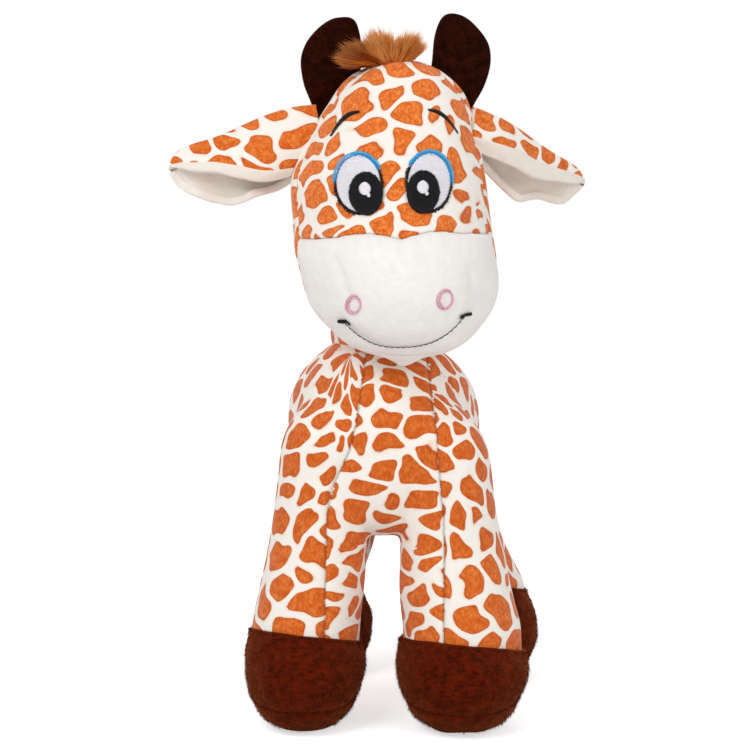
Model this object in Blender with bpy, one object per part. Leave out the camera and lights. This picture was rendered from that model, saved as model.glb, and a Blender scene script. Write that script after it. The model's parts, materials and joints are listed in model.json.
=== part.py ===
"""Standing plush giraffe: stuffing, sewn cloth panels, embroidery, ears, horns, tuft and tail."""

import math

import bmesh
import bpy
from mathutils import Matrix, Vector

# The toy faces -Y, +Z is up, and its own left side is +X. Lengths are in metres.
# Heights are from the floor, and Y is from the neck's axis until the toy is centred at the end.

# Cloth, thread and clearances
CLOTH = 0.0012
THREAD = 0.0005
GAP = 0.0003
STUFFING_GAP = 0.0010
SKIN = CLOTH + STUFFING_GAP

# Joint heights
HIP_HEIGHT = 0.124
PIVOT_ABOVE_HIP = 0.072
NECK_HEIGHT = HIP_HEIGHT + PIVOT_ABOVE_HIP

# Neck, a ball between the body and the head
NECK_RADIUS = 0.031
NECK_CLEARANCE = 0.0014

# Body
BELLY_DROP = 0.031
SHOULDER_DROP = 0.020
BODY_BASE = HIP_HEIGHT - BELLY_DROP
BODY_HEIGHT = NECK_HEIGHT - SHOULDER_DROP - BODY_BASE
BODY_HALF_WIDTH = 0.050
CHEST_REACH = 0.052
RUMP_REACH = 0.106
COLLAR_MARGIN = 0.002
COLLAR_RADIUS = NECK_RADIUS + COLLAR_MARGIN

# Head, whose base is the lowest point of the chin
CHIN_DROP = 0.012
HEAD_BASE = NECK_HEIGHT - CHIN_DROP
HEAD_HEIGHT = 0.143
HEAD_HALF_WIDTH = 0.050
FACE_REACH = 0.0815
NAPE_REACH = 0.0575
HEAD_SHIFT = 0.003
HEAD_NOD = math.radians(4.5)
HEAD_ROLL = math.radians(-1.5)
HEAD_TURN = math.radians(5)

# Legs, whose hips are balls held in sockets of the body
LEG_RADIUS = 0.0245
HIP_CLEARANCE = 0.0020
HIP_SWING = math.radians(10)
SOCKET_DEPTH = 0.042
FRONT_HIP_SPREAD = 0.033
HIND_HIP_SPREAD = 0.036
FRONT_HIP_REACH = 0.033
HIND_HIP_REACH = 0.080
FOOT_HEIGHT = 0.046
FOOT_HALF_WIDTH = 0.031
TOE_REACH = 0.047
HEEL_REACH = 0.0215
FRONT_FOOT_SPREAD = 0.006
HIND_FOOT_SPREAD = 0.011
SOLE_THICKNESS = 0.0018

# Room left round the head where the ears and horns bend
EAR_ROOM = 0.0052
HORN_ROOM = 0.0020

# Ears
EAR_LENGTH = 0.067
EAR_HALF_HEIGHT = 0.0195
EAR_HALF_DEPTH = 0.011
LINING = 0.0014
EAR_SEAT_HEIGHT = 0.103
EAR_SEAT_TURN = math.radians(88)
EAR_STANDOFF = 0.0025
EAR_HINGE_REACH = 0.008
RIGHT_EAR_DROOP = math.radians(11)
LEFT_EAR_DROOP = math.radians(24)
RIGHT_EAR_SWEEP = math.radians(0)
LEFT_EAR_SWEEP = math.radians(28)
EAR_ROLL = math.radians(12)

# Horns
HORN_LENGTH = 0.056
HORN_ROOT = 0.010
HORN_HALF_WIDTH = 0.0145
HORN_HALF_THICKNESS = 0.0035
HORN_SEAT_TURN = math.radians(118)
HORN_SEAT_HEIGHT = 0.1225
HORN_LEAN = math.radians(8)

# Tuft and tail
TUFT_HALF_WIDTH = 0.019
TUFT_HALF_DEPTH = 0.010
TUFT_HEIGHT = 0.019
TAIL_RADIUS = 0.004
TAIL_LENGTH = 0.052
TAIL_TUFT_RADIUS = 0.0075
TAIL_TUFT_LENGTH = 0.026
TAIL_ABOVE_HIP = 0.017
TAIL_CLEARANCE = 0.0008

# Embroidery: places across are from the middle of the face, heights from the base of the chin
EYE_SPREAD = 0.0176
EYE_HEIGHT = 0.0865
EYE_HALF_WIDTH = 0.0114
EYE_HALF_HEIGHT = 0.0150
EYE_TILT = math.radians(6)
OUTLINE_WIDTH = 0.0018
LID_WIDTH = 0.0026
LID_INNER_TURN = math.radians(20)
LID_OUTER_TURN = math.radians(182)
PUPIL_HALF_WIDTH = 0.0076
PUPIL_HALF_HEIGHT = 0.0100
PUPIL_SHIFT = 0.0026
PUPIL_DROP = 0.0042
GLINT_HALF_WIDTH = 0.0026
GLINT_HALF_HEIGHT = 0.0031
GLINT_RISE = 0.0012
BROW_WIDTH = 0.0015
BROW_INNER = 0.0170
BROW_OUTER = 0.0300
BROW_INNER_HEIGHT = 0.1190
BROW_OUTER_HEIGHT = 0.1080
BROW_ARCH = 0.0012
NOSTRIL_SPREAD = 0.0217
NOSTRIL_HEIGHT = 0.0337
NOSTRIL_HALF_WIDTH = 0.0035
NOSTRIL_HALF_HEIGHT = 0.0046
NOSTRIL_LINE = 0.0017
MOUTH_HALF_WIDTH = 0.0280
MOUTH_CORNER_HEIGHT = 0.0245
MOUTH_DIP = 0.0115
MOUTH_LINE = 0.0013
MOUTH_POWER = 2.7

# Rows of the body up to its widest place: shares of its height, half width, chest reach and rump reach
BELLY_SHARES = (
    (0.000, 0.00, -0.33, 0.16),
    (0.012, 0.42, 0.20, 0.49),
    (0.047, 0.69, 0.52, 0.70),
    (0.118, 0.885, 0.78, 0.835),
    (0.225, 0.98, 0.94, 0.925),
    (0.355, 1.00, 1.00, 0.985),
    (0.485, 0.98, 1.00, 1.00),
)
# Rows from there up: shares of its height, and of the way from the collar to the full sizes
SHOULDER_SHARES = (
    (0.61, 0.85, 0.92, 0.91),
    (0.72, 0.72, 0.82, 0.76),
    (0.81, 0.53, 0.66, 0.57),
    (0.89, 0.32, 0.44, 0.35),
    (0.95, 0.13, 0.20, 0.14),
    (1.00, 0.00, 0.00, 0.00),
)
# Rows of the head: shares of its height, half width, face reach and nape reach
HEAD_SHARES = (
    (0.000, 0.00, 0.55, -0.78),
    (0.010, 0.26, 0.69, -0.59),
    (0.033, 0.45, 0.785, -0.38),
    (0.070, 0.62, 0.87, 0.00),
    (0.145, 0.85, 0.96, 0.56),
    (0.245, 0.96, 1.00, 0.83),
    (0.345, 1.00, 0.96, 0.95),
    (0.430, 0.99, 0.83, 0.98),
    (0.505, 0.99, 0.725, 1.00),
    (0.605, 0.965, 0.62, 0.98),
    (0.715, 0.88, 0.49, 0.895),
    (0.815, 0.765, 0.36, 0.765),
    (0.895, 0.63, 0.25, 0.61),
    (0.955, 0.43, 0.165, 0.43),
    (0.992, 0.19, 0.08, 0.21),
    (1.000, 0.00, -0.025, 0.035),
)
# Rows of a foot: shares of its height, half width, toe reach and heel reach
FOOT_SHARES = (
    (0.00, 0.78, 0.83, 0.66),
    (0.07, 0.90, 0.935, 0.84),
    (0.24, 0.99, 1.00, 0.98),
    (0.50, 1.00, 0.99, 1.00),
    (0.78, 0.98, 0.88, 1.03),
    (1.00, 0.95, 0.74, 1.05),
)
# Rows of a shin: its height as a share of the way from the foot to the hip, and how much foot is left in it
SHIN_SHARES = ((0.22, 0.56), (0.45, 0.18), (0.70, 0.01), (1.00, 0.00))
# Rows of an ear: shares of its length, half height and half depth
EAR_SHARES = (
    (0.00, 0.36, 0.44),
    (0.08, 0.66, 0.72),
    (0.24, 0.90, 0.96),
    (0.48, 1.00, 1.00),
    (0.70, 0.96, 0.90),
    (0.88, 0.70, 0.70),
    (1.00, 0.34, 0.46),
)
# Rows of a horn: shares of its length and half width
HORN_SHARES = (
    (0.00, 0.62),
    (0.20, 0.84),
    (0.42, 0.98),
    (0.62, 1.00),
    (0.80, 0.86),
    (0.92, 0.58),
    (0.98, 0.30),
    (1.00, 0.00),
)
# Rows of the tuft and the tail's tuft: shares of their height and of their half width
TUFT_SHARES = ((0.00, 0.30), (0.25, 0.66), (0.50, 0.94), (0.72, 1.00), (0.88, 0.78), (1.00, 0.00))
TAIL_TUFT_SHARES = ((0.00, 0.00), (0.18, 0.36), (0.50, 0.85), (0.75, 1.00), (0.93, 0.70), (1.00, 0.50))

# Seams: the chest panel's half width as a share of the body's, at shares of the body's height
CHEST_SEAM_SHARES = ((0.00, 0.56), (0.35, 0.46), (0.65, 0.35), (1.00, 0.27))
# The rows, counted from the base, that seams between panels follow
BELLY_SEAM_ROW = 3
CHIN_SEAM_ROW = 3
MUZZLE_SEAM_ROW = 7
CROWN_SEAM_ROW = 14
ANKLE_ROW = 5
LEG_TOP_ROW = 11
NECK_BAND_ROW = 1

# Facets, and the turns of the seams counted in them from the front
BODY_SIDES = 20
FACE_SEAM_SIDES = 4
BACK_SEAM_SIDES = 7
CHEST_COLUMNS = 4
FLANK_COLUMNS = 8
NECK_SIDES = 18
NECK_STEPS = 6
LEG_SIDES = 12
DOME_STEPS = 3
EAR_SIDES = 15
EAR_BACK_SIDES = 10
EAR_LIP_SIDES = 1
EAR_TOP_TURN = math.radians(5)
DISC_SIDES = 12
RIM_STEPS = 11
RING_STEPS = 10
BROW_STEPS = 4
MOUTH_STEPS = 14
HORN_SIDES = 6
TUFT_SIDES = 10
FOLD_ANGLE = math.radians(50)
SLOPE_STEP = 0.004
HALVINGS = 30

# Colours as red, green and blue, and how rough each surface is
PRINT = ("printed short-pile cloth", (0.80, 0.36, 0.12), 0.85)
WHITE_PLUSH = ("white plush", (0.90, 0.88, 0.85), 0.9)
BROWN_PLUSH = ("brown plush", (0.13, 0.035, 0.012), 0.85)
HORN_CLOTH = ("dark brown cloth", (0.025, 0.007, 0.004), 0.9)
FUR = ("golden brown fur", (0.50, 0.20, 0.06), 0.7)
FIBRE = ("polyester fibre", (0.85, 0.85, 0.85), 0.95)
WHITE_THREAD = ("white thread", (0.82, 0.79, 0.84), 0.5)
BLACK_THREAD = ("black thread", (0.01, 0.01, 0.012), 0.45)
BLUE_THREAD = ("blue thread", (0.02, 0.33, 0.68), 0.45)
PINK_THREAD = ("pink thread", (0.82, 0.38, 0.48), 0.5)


def smooth(values, f):
    """A curve through the two middle values that leaves for their neighbours."""
    a, b, c, d = values
    return b + f / 2 * (c - a + f * (2 * a - 5 * b + 4 * c - d + f * (3 * (b - c) + d - a)))


def between(a, b, share):
    """The value a share of the way from a to b."""
    return a + (b - a) * share


def lookup(table, share):
    """The value at a share of the way along a table of pairs, on straight runs."""
    for (low, first), (high, second) in zip(table, table[1:]):
        if share <= high:
            return between(first, second, (share - low) / (high - low))
    return table[-1][1]


class Form:
    """A stuffed volume: a stack of rings, each a height, a middle, a half width and two reaches."""

    def __init__(self, rings):
        self.rings = rings
        self.last = len(rings) - 1

    def ring(self, t):
        """The ring at t, from 0 at the first to 1 at the last, on a smooth curve through them all."""
        place = min(max(t, 0), 1) * self.last
        i = min(int(place), self.last - 1)
        near = (self.rings[max(i - 1, 0)], *self.rings[i:i + 2], self.rings[min(i + 2, self.last)])
        return [smooth(values, place - i) for values in zip(*near)]

    def rows(self, low=0, high=None, floor=None):
        """The t of each ring from one row to another, or from a floor height up."""
        high = self.last if high is None else high
        if floor is None:
            return [row / self.last for row in range(low, high + 1)]
        start = self.t_at(floor)
        return [start] + [row / self.last for row in range(high + 1) if row / self.last > start]

    def is_pole(self, t):
        return self.ring(t)[2] < GAP

    def bare(self, u, t):
        """The point at turn u from the front and at t up the form."""
        height, middle, half_width, front, back = self.ring(t)
        y = (back - front) / 2 - (back + front) / 2 * math.cos(u)
        return Vector((middle + half_width * math.sin(u), y, height))

    def slopes(self, u, t):
        """How fast the point moves with u and with t."""
        step = SLOPE_STEP
        low = max(t - step, 0)
        high = min(t + step, 1)
        across = (self.bare(u + step, t) - self.bare(u - step, t)) / (2 * step)
        along = (self.bare(u, high) - self.bare(u, low)) / (high - low)
        return across, along

    def normal(self, u, t):
        across, along = self.slopes(u, t)
        return across.cross(along).normalized()

    def point(self, u, t, offset=0):
        """The point at u and t, moved out of the form by offset."""
        if self.is_pole(t):
            return self.bare(u, t) + Vector((0, 0, offset if t > 0.5 else -offset))
        return self.bare(u, t) + self.normal(u, t) * offset

    def t_at(self, height):
        """The t whose ring lies at a height."""
        low, high = 0.0, 1.0
        for _ in range(HALVINGS):
            middle = (low + high) / 2
            if self.ring(middle)[0] < height:
                low = middle
            else:
                high = middle
        return (low + high) / 2

    def face_point(self, across, height, offset):
        """The point on the front at a place across and a height, moved out by offset."""
        t = self.t_at(height)
        middle, half_width = self.ring(t)[1:3]
        u = math.asin(max(-1, min(1, (across - middle) / half_width)))
        return self.point(u, t, offset)


def body_form():
    rings = []
    for height, width, front, back in BELLY_SHARES:
        rings.append((BODY_BASE + BODY_HEIGHT * height, 0, BODY_HALF_WIDTH * width,
                      CHEST_REACH * front, RUMP_REACH * back))
    for height, width, front, back in SHOULDER_SHARES:
        rings.append((BODY_BASE + BODY_HEIGHT * height, 0, between(COLLAR_RADIUS, BODY_HALF_WIDTH, width),
                      between(COLLAR_RADIUS, CHEST_REACH, front), between(COLLAR_RADIUS, RUMP_REACH, back)))
    return Form(rings)


def head_form():
    return Form([(HEAD_BASE + HEAD_HEIGHT * height, HEAD_SHIFT, HEAD_HALF_WIDTH * width,
                  FACE_REACH * front, NAPE_REACH * back) for height, width, front, back in HEAD_SHARES])


def dome(centre_height, radius, first_step, steps):
    """Rings of the upper half of a ball, from a step above its widest ring to its pole."""
    rings = []
    for step in range(first_step, steps + 1):
        angle = math.pi / 2 * step / steps
        size = radius * math.cos(angle) if step < steps else 0
        rings.append((centre_height + radius * math.sin(angle), 0, size, size, size))
    return rings


def neck_form():
    upper = dome(NECK_HEIGHT, NECK_RADIUS, 0, NECK_STEPS // 2)
    lower = [(2 * NECK_HEIGHT - ring[0],) + ring[1:] for ring in reversed(upper[1:])]
    return Form(lower + upper)


def leg_form(spread):
    """A leg from its sole to the top of its hip ball, its hip over X and Y zero, its foot spread to +X."""
    rings = [(FOOT_HEIGHT * height, spread, FOOT_HALF_WIDTH * width, TOE_REACH * toe, HEEL_REACH * heel)
             for height, width, toe, heel in FOOT_SHARES]
    ankle = rings[-1]
    for height, foot in SHIN_SHARES:
        sizes = [between(LEG_RADIUS, size, foot) for size in ankle[2:]]
        rings.append((between(FOOT_HEIGHT, HIP_HEIGHT, height), spread * foot, *sizes))
    return Form(rings + dome(HIP_HEIGHT, LEG_RADIUS, 1, DOME_STEPS))


def socket_form():
    """The room that a swinging leg takes inside the body."""
    radius = LEG_RADIUS + HIP_CLEARANCE
    rings = []
    for share in (1, 0.5, 0):
        depth = SOCKET_DEPTH * share
        swept = radius + depth * math.tan(HIP_SWING)
        rings.append((HIP_HEIGHT - depth, 0, radius, swept, swept))
    return Form(rings + dome(HIP_HEIGHT, radius, 1, DOME_STEPS))


def ear_form():
    return Form([(EAR_LENGTH * length, 0, EAR_HALF_HEIGHT * height, EAR_HALF_DEPTH * depth,
                  EAR_HALF_DEPTH * depth) for length, height, depth in EAR_SHARES])


def all_round(sides):
    """The turns of points spaced evenly round a whole ring."""
    return lambda t: [2 * math.pi * k / sides for k in range(sides)]


def fan(left, right, columns):
    """The turns of points from one side seam to the other, each seam a turn or a function of t."""
    def turns(t):
        start = left(t) if callable(left) else left
        stop = right(t) if callable(right) else right
        return [between(start, stop, k / columns) for k in range(columns + 1)]
    return turns


def join_loops(bm, loops, closed):
    """Faces between each loop of points and the next, where a single point is a pole."""
    for first, second in zip(loops, loops[1:]):
        count = max(len(first), len(second))
        for k in range(count if closed else count - 1):
            corners = [first[k % len(first)], first[(k + 1) % len(first)],
                       second[(k + 1) % len(second)], second[k % len(second)]]
            bm.faces.new(list(dict.fromkeys(corners)))


def flatten(points, height):
    for point in points:
        point.z = height


def solid(form, sides, offset=0, floor=None):
    """A closed body filling the form, from a floor height if one is given. An open top is flat.

    Its sides are a count, or the turns of its points as a function of t.
    """
    around = sides if callable(sides) else all_round(sides)
    rings = []
    for t in form.rows(floor=floor):
        turns = [0] if form.is_pole(t) else around(t)
        rings.append([form.point(u, t, offset) for u in turns])
    if floor is not None:
        flatten(rings[0], floor)
    flatten(rings[-1], min(point.z for point in rings[-1]))
    bm = bmesh.new()
    loops = [[bm.verts.new(point) for point in ring] for ring in rings]
    join_loops(bm, loops, closed=True)
    for loop in (loops[0], loops[-1]):
        if len(loop) > 1:
            bm.faces.new(loop)
    return bm


def sheet(form, turns, ts, inner, outer, closed=False):
    """One cloth panel: the form at turns and rows, between two offsets from its surface.

    Each edge of the panel, but for a pole, stays half a gap short of its seam.
    """
    bm = bmesh.new()
    faces = []
    for offset in (inner, outer):
        loops = []
        for row, t in enumerate(ts):
            if form.is_pole(t):
                loops.append([bm.verts.new(form.point(0, t, offset))])
                continue
            ring = turns(t)
            if not closed:
                trim = GAP / 2 / form.slopes(ring[0], t)[0].length
                ring = [ring[0] + trim, *ring[1:-1], ring[-1] - trim]
            inward = (row == 0) - (row == len(ts) - 1)
            points = []
            for u in ring:
                trim = GAP / 2 / form.slopes(u, t)[1].length
                points.append(form.point(u, t + inward * trim, offset))
            loops.append([bm.verts.new(point) for point in points])
        join_loops(bm, loops, closed)
        faces.append(loops)
    inside, outside = faces
    for row in (0, -1):
        if len(inside[row]) > 1:
            join_loops(bm, [inside[row], outside[row]], closed)
    if not closed:
        for end in (0, -1):
            join_loops(bm, [[loop[end] for loop in inside], [loop[end] for loop in outside]], False)
    return bm


def ellipse(across, height, half_width, half_height, tilt, start, stop, steps):
    """Points on an ellipse in the plane of the face, from one turn to another."""
    points = []
    for k in range(steps + 1):
        turn = between(start, stop, k / steps)
        x = half_width * math.cos(turn)
        z = half_height * math.sin(turn)
        points.append((across + x * math.cos(tilt) + z * math.sin(tilt),
                       height + z * math.cos(tilt) - x * math.sin(tilt)))
    return points


def stitched_disc(form, across, height, half_width, half_height, tilt, layer):
    """A filled patch of stitches lying on the face."""
    bm = bmesh.new()
    rims = []
    for offset in (layer, layer + THREAD):
        loops = [[bm.verts.new(form.face_point(across, height, offset))]]
        for share in (0.5, 1):
            points = ellipse(across, height, half_width * share, half_height * share, tilt,
                             0, 2 * math.pi, DISC_SIDES)
            loops.append([bm.verts.new(form.face_point(x, z, offset)) for x, z in points[:-1]])
        join_loops(bm, loops, closed=True)
        rims.append(loops[-1])
    join_loops(bm, rims, closed=True)
    return bm


def stitched_line(form, points, width, layer, closed=False):
    """A raised line of stitches lying on the face along points."""
    bm = bmesh.new()
    count = len(points)
    loops = []
    for k, (x, z) in enumerate(points):
        before = points[k - 1] if closed or k > 0 else points[0]
        after = points[(k + 1) % count] if closed or k < count - 1 else points[-1]
        way = Vector((after[0] - before[0], after[1] - before[1])).normalized()
        side = Vector((-way.y, way.x)) * width / 2
        corners = ((side, layer), (side, layer + THREAD), (-side, layer + THREAD), (-side, layer))
        loops.append([bm.verts.new(form.face_point(x + step.x, z + step.y, offset))
                      for step, offset in corners])
    if closed:
        loops.append(loops[0])
    join_loops(bm, loops, closed=True)
    if not closed:
        bm.faces.new(loops[0])
        bm.faces.new(loops[-1])
    return bm


def material(finish):
    name, colour, roughness = finish
    if name in bpy.data.materials:
        return bpy.data.materials[name]
    made = bpy.data.materials.new(name)
    made.use_nodes = True
    shader = made.node_tree.nodes["Principled BSDF"]
    shader.inputs["Base Color"].default_value = (*colour, 1)
    shader.inputs["Roughness"].default_value = roughness
    shader.inputs["Metallic"].default_value = 0
    return made


class Carrier:
    """An empty on a joint, whose own X is the hinge's axis, or whose own Z is the turn's axis."""

    def __init__(self, name, rest, parent=None):
        self.rest = rest
        self.empty = bpy.data.objects.new(name, None)
        bpy.context.scene.collection.objects.link(self.empty)
        if parent:
            self.empty.parent = parent.empty
            self.empty.matrix_local = parent.rest.inverted() @ rest


def part(name, bm, finish, carrier, mirrored=False):
    """One object from a closed mesh given in the toy's own places, carried by a joint's empty."""
    if mirrored:
        bmesh.ops.scale(bm, vec=(-1, 1, 1), verts=bm.verts)
    bmesh.ops.transform(bm, matrix=carrier.rest.inverted(), verts=bm.verts)
    bmesh.ops.recalc_face_normals(bm, faces=bm.faces)
    mesh = bpy.data.meshes.new(name)
    bm.to_mesh(mesh)
    bm.free()
    mesh.shade_smooth()
    mesh.set_sharp_from_angle(angle=FOLD_ANGLE)
    mesh.materials.append(material(finish))
    obj = bpy.data.objects.new(name, mesh)
    bpy.context.scene.collection.objects.link(obj)
    obj.parent = carrier.empty
    return obj


def cutter(name, bm, carrier, mirrored=False):
    """A closed mesh that only cuts others."""
    obj = part(name, bm, FIBRE, carrier, mirrored)
    obj.hide_render = True
    obj.display_type = "WIRE"
    return obj


def cut(obj, tools):
    for tool in tools:
        modifier = obj.modifiers.new("cut by " + tool.name, "BOOLEAN")
        modifier.operation = "DIFFERENCE"
        modifier.object = tool


def moved(bm, matrix):
    bmesh.ops.transform(bm, matrix=matrix, verts=bm.verts)
    return bm


def side_name(side):
    return "left" if side > 0 else "right"


def make_body(body, legs):
    """Body stuffing and its four panels, with sockets for the hips and the neck."""
    form = body_form()

    def chest_seam(t):
        height, middle, half_width = form.ring(t)[:3]
        share = (height - BODY_BASE) / BODY_HEIGHT
        return math.asin(min(1, lookup(CHEST_SEAM_SHARES, share) * BODY_HALF_WIDTH / half_width))

    across = fan(lambda t: -chest_seam(t), chest_seam, CHEST_COLUMNS)
    round_back = fan(chest_seam, lambda t: 2 * math.pi - chest_seam(t), 2 * FLANK_COLUMNS)

    def around(t):
        return across(t)[:-1] + round_back(t)[:-1]

    stuffing = part("body_stuffing", solid(form, around, -SKIN), FIBRE, body)
    belly_shape = sheet(form, around, form.rows(0, BELLY_SEAM_ROW), -CLOTH, 0, closed=True)
    belly = part("belly_panel", belly_shape, PRINT, body)
    rows = form.rows(BELLY_SEAM_ROW)
    chest_shape = sheet(form, across, rows, -CLOTH, 0)
    chest = part("chest_panel", chest_shape, PRINT, body)
    neck_socket = cutter("neck_socket", solid(neck_form(), NECK_SIDES, NECK_CLEARANCE), body)
    cut(stuffing, [neck_socket])
    for side in (1, -1):
        flank_shape = sheet(form, fan(chest_seam, math.pi, FLANK_COLUMNS), rows, -CLOTH, 0)
        flank = part(side_name(side) + "_body_panel", flank_shape, PRINT, body, side < 0)
        for end, hip in legs:
            shape = moved(solid(socket_form(), LEG_SIDES), Matrix.Translation((hip.x, hip.y, 0)))
            socket = cutter(f"{end}_{side_name(side)}_socket", shape, body, side < 0)
            cut(stuffing, [socket])
            cut(belly, [socket])
            cut(flank, [socket])
            if end == "front":
                cut(chest, [socket])


def make_neck(neck):
    """The soft ball that the head nods and turns on, in its cloth."""
    form = neck_form()
    part("neck_stuffing", solid(form, NECK_SIDES, -SKIN), FIBRE, neck)
    rows = form.rows(NECK_BAND_ROW, form.last - NECK_BAND_ROW)
    part("neck_cloth", sheet(form, all_round(NECK_SIDES), rows, -CLOTH, 0, closed=True), PRINT, neck)


def make_head(form, head):
    """Head stuffing, its printed panels, the white muzzle and the chin."""
    face = 2 * math.pi * FACE_SEAM_SIDES / BODY_SIDES
    back = 2 * math.pi * BACK_SEAM_SIDES / BODY_SIDES
    side_columns = BACK_SEAM_SIDES - FACE_SEAM_SIDES
    lower = form.rows(CHIN_SEAM_ROW, MUZZLE_SEAM_ROW)
    upper = form.rows(MUZZLE_SEAM_ROW, CROWN_SEAM_ROW)
    whole = form.rows(CHIN_SEAM_ROW, CROWN_SEAM_ROW)
    panels = (
        ("face_panel", fan(-face, face, 2 * FACE_SEAM_SIDES), upper, PRINT),
        ("muzzle_cover", fan(-face, face, 2 * FACE_SEAM_SIDES), lower, WHITE_PLUSH),
        ("left_head_panel", fan(face, back, side_columns), whole, PRINT),
        ("right_head_panel", fan(-back, -face, side_columns), whole, PRINT),
        ("head_back_panel", fan(back, 2 * math.pi - back, BODY_SIDES - 2 * BACK_SEAM_SIDES), whole, PRINT),
    )
    pieces = [part("head_stuffing", solid(form, BODY_SIDES, -SKIN), FIBRE, head)]
    for name, turns, rows, finish in panels:
        pieces.append(part(name, sheet(form, turns, rows, -CLOTH, 0), finish, head))
    chin = sheet(form, all_round(BODY_SIDES), form.rows(0, CHIN_SEAM_ROW), -CLOTH, 0, closed=True)
    pieces.append(part("chin_panel", chin, WHITE_PLUSH, head))
    neck_room = cutter("neck_room", solid(neck_form(), NECK_SIDES, NECK_CLEARANCE), head)
    for piece in pieces:
        cut(piece, [neck_room])


def make_eye(form, side, head):
    """One eye in three layers of stitches: white with its rim and lid, the pupil, and the glint."""
    name = side_name(side)
    layers = [GAP + (THREAD + GAP) * k for k in range(3)]
    x = HEAD_SHIFT + side * EYE_SPREAD
    z = HEAD_BASE + EYE_HEIGHT
    margin = LID_WIDTH / 2 + GAP
    white = stitched_disc(form, x, z, EYE_HALF_WIDTH - margin, EYE_HALF_HEIGHT - margin, EYE_TILT, layers[0])
    part(name + "_eye_white", white, WHITE_THREAD, head)
    start, stop = LID_INNER_TURN, LID_OUTER_TURN
    if side > 0:
        start, stop = math.pi - stop, math.pi - start
    spare = margin / EYE_HALF_WIDTH
    lid = ellipse(x, z, EYE_HALF_WIDTH, EYE_HALF_HEIGHT, EYE_TILT, start, stop, RIM_STEPS)
    rim = ellipse(x, z, EYE_HALF_WIDTH, EYE_HALF_HEIGHT, EYE_TILT,
                  stop + spare, start + 2 * math.pi - spare, RIM_STEPS)
    part(name + "_eyelid", stitched_line(form, lid, LID_WIDTH, layers[0]), BLUE_THREAD, head)
    part(name + "_eye_outline", stitched_line(form, rim, OUTLINE_WIDTH, layers[0]), BLACK_THREAD, head)
    x -= side * PUPIL_SHIFT
    z -= PUPIL_DROP
    pupil = stitched_disc(form, x, z, PUPIL_HALF_WIDTH, PUPIL_HALF_HEIGHT, EYE_TILT, layers[1])
    part(name + "_pupil", pupil, BLACK_THREAD, head)
    glint = stitched_disc(form, x, z + GLINT_RISE, GLINT_HALF_WIDTH, GLINT_HALF_HEIGHT, EYE_TILT, layers[2])
    part(name + "_eye_glint", glint, WHITE_THREAD, head)


def make_lines(form, head):
    """The brows, the nostril rings and the mouth, each a line of stitches."""
    for side in (1, -1):
        brow = []
        for k in range(BROW_STEPS + 1):
            share = k / BROW_STEPS
            arch = BROW_ARCH * math.sin(math.pi * share)
            brow.append((HEAD_SHIFT + side * between(BROW_INNER, BROW_OUTER, share),
                         HEAD_BASE + between(BROW_INNER_HEIGHT, BROW_OUTER_HEIGHT, share) + arch))
        part(side_name(side) + "_brow", stitched_line(form, brow, BROW_WIDTH, GAP), BLACK_THREAD, head)
        ring = ellipse(HEAD_SHIFT + side * NOSTRIL_SPREAD, HEAD_BASE + NOSTRIL_HEIGHT,
                       NOSTRIL_HALF_WIDTH, NOSTRIL_HALF_HEIGHT, 0, 0, 2 * math.pi, RING_STEPS)
        nostril = stitched_line(form, ring[:-1], NOSTRIL_LINE, GAP, closed=True)
        part(side_name(side) + "_nostril", nostril, PINK_THREAD, head)
    mouth = []
    for k in range(MOUTH_STEPS + 1):
        share = 2 * k / MOUTH_STEPS - 1
        rise = MOUTH_CORNER_HEIGHT - MOUTH_DIP * (1 - abs(share) ** MOUTH_POWER)
        mouth.append((HEAD_SHIFT + MOUTH_HALF_WIDTH * share, HEAD_BASE + rise))
    part("mouth", stitched_line(form, mouth, MOUTH_LINE, GAP), BLACK_THREAD, head)


def make_ear(form, side, droop, sweep, head, ear_room):
    """A folded ear: printed cloth over the ridge and behind, white plush inside and round the lip."""
    seat = form.point(EAR_SEAT_TURN, form.t_at(HEAD_BASE + EAR_SEAT_HEIGHT), EAR_STANDOFF)
    root = Vector((HEAD_SHIFT + side * (seat.x - HEAD_SHIFT), seat.y, seat.z))
    out = Vector((side * math.cos(droop) * math.cos(sweep), math.cos(droop) * math.sin(sweep),
                  -math.sin(droop)))
    back = Vector((0, 1, 0))
    back = (back - out * back.dot(out)).normalized()
    up = out.cross(back) * side
    frame = Matrix((up, back, out)).transposed().to_4x4()
    hinge = Matrix((back, out, back.cross(out))).transposed().to_4x4()
    name = side_name(side)
    carried = Carrier(name + "_ear_hinge", Matrix.Translation(root + out * EAR_HINGE_REACH) @ hinge, head)
    place = Matrix.Translation(root) @ frame @ Matrix.Rotation(EAR_ROLL, 4, "Z")
    ear = ear_form()
    step = 2 * math.pi / EAR_SIDES
    start = EAR_TOP_TURN
    stop = start + step * EAR_BACK_SIDES
    lip = step * EAR_LIP_SIDES
    outside = sheet(ear, fan(start, stop, EAR_BACK_SIDES), ear.rows(), -CLOTH, 0)
    inside = sheet(ear, fan(start - lip, stop + lip, EAR_BACK_SIDES + 2 * EAR_LIP_SIDES), ear.rows(),
                   -CLOTH - GAP - LINING, -CLOTH - GAP)
    cut(part(name + "_ear_back", moved(outside, place), PRINT, carried), [ear_room])
    cut(part(name + "_ear_lining", moved(inside, place), WHITE_PLUSH, carried), [ear_room])


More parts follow.
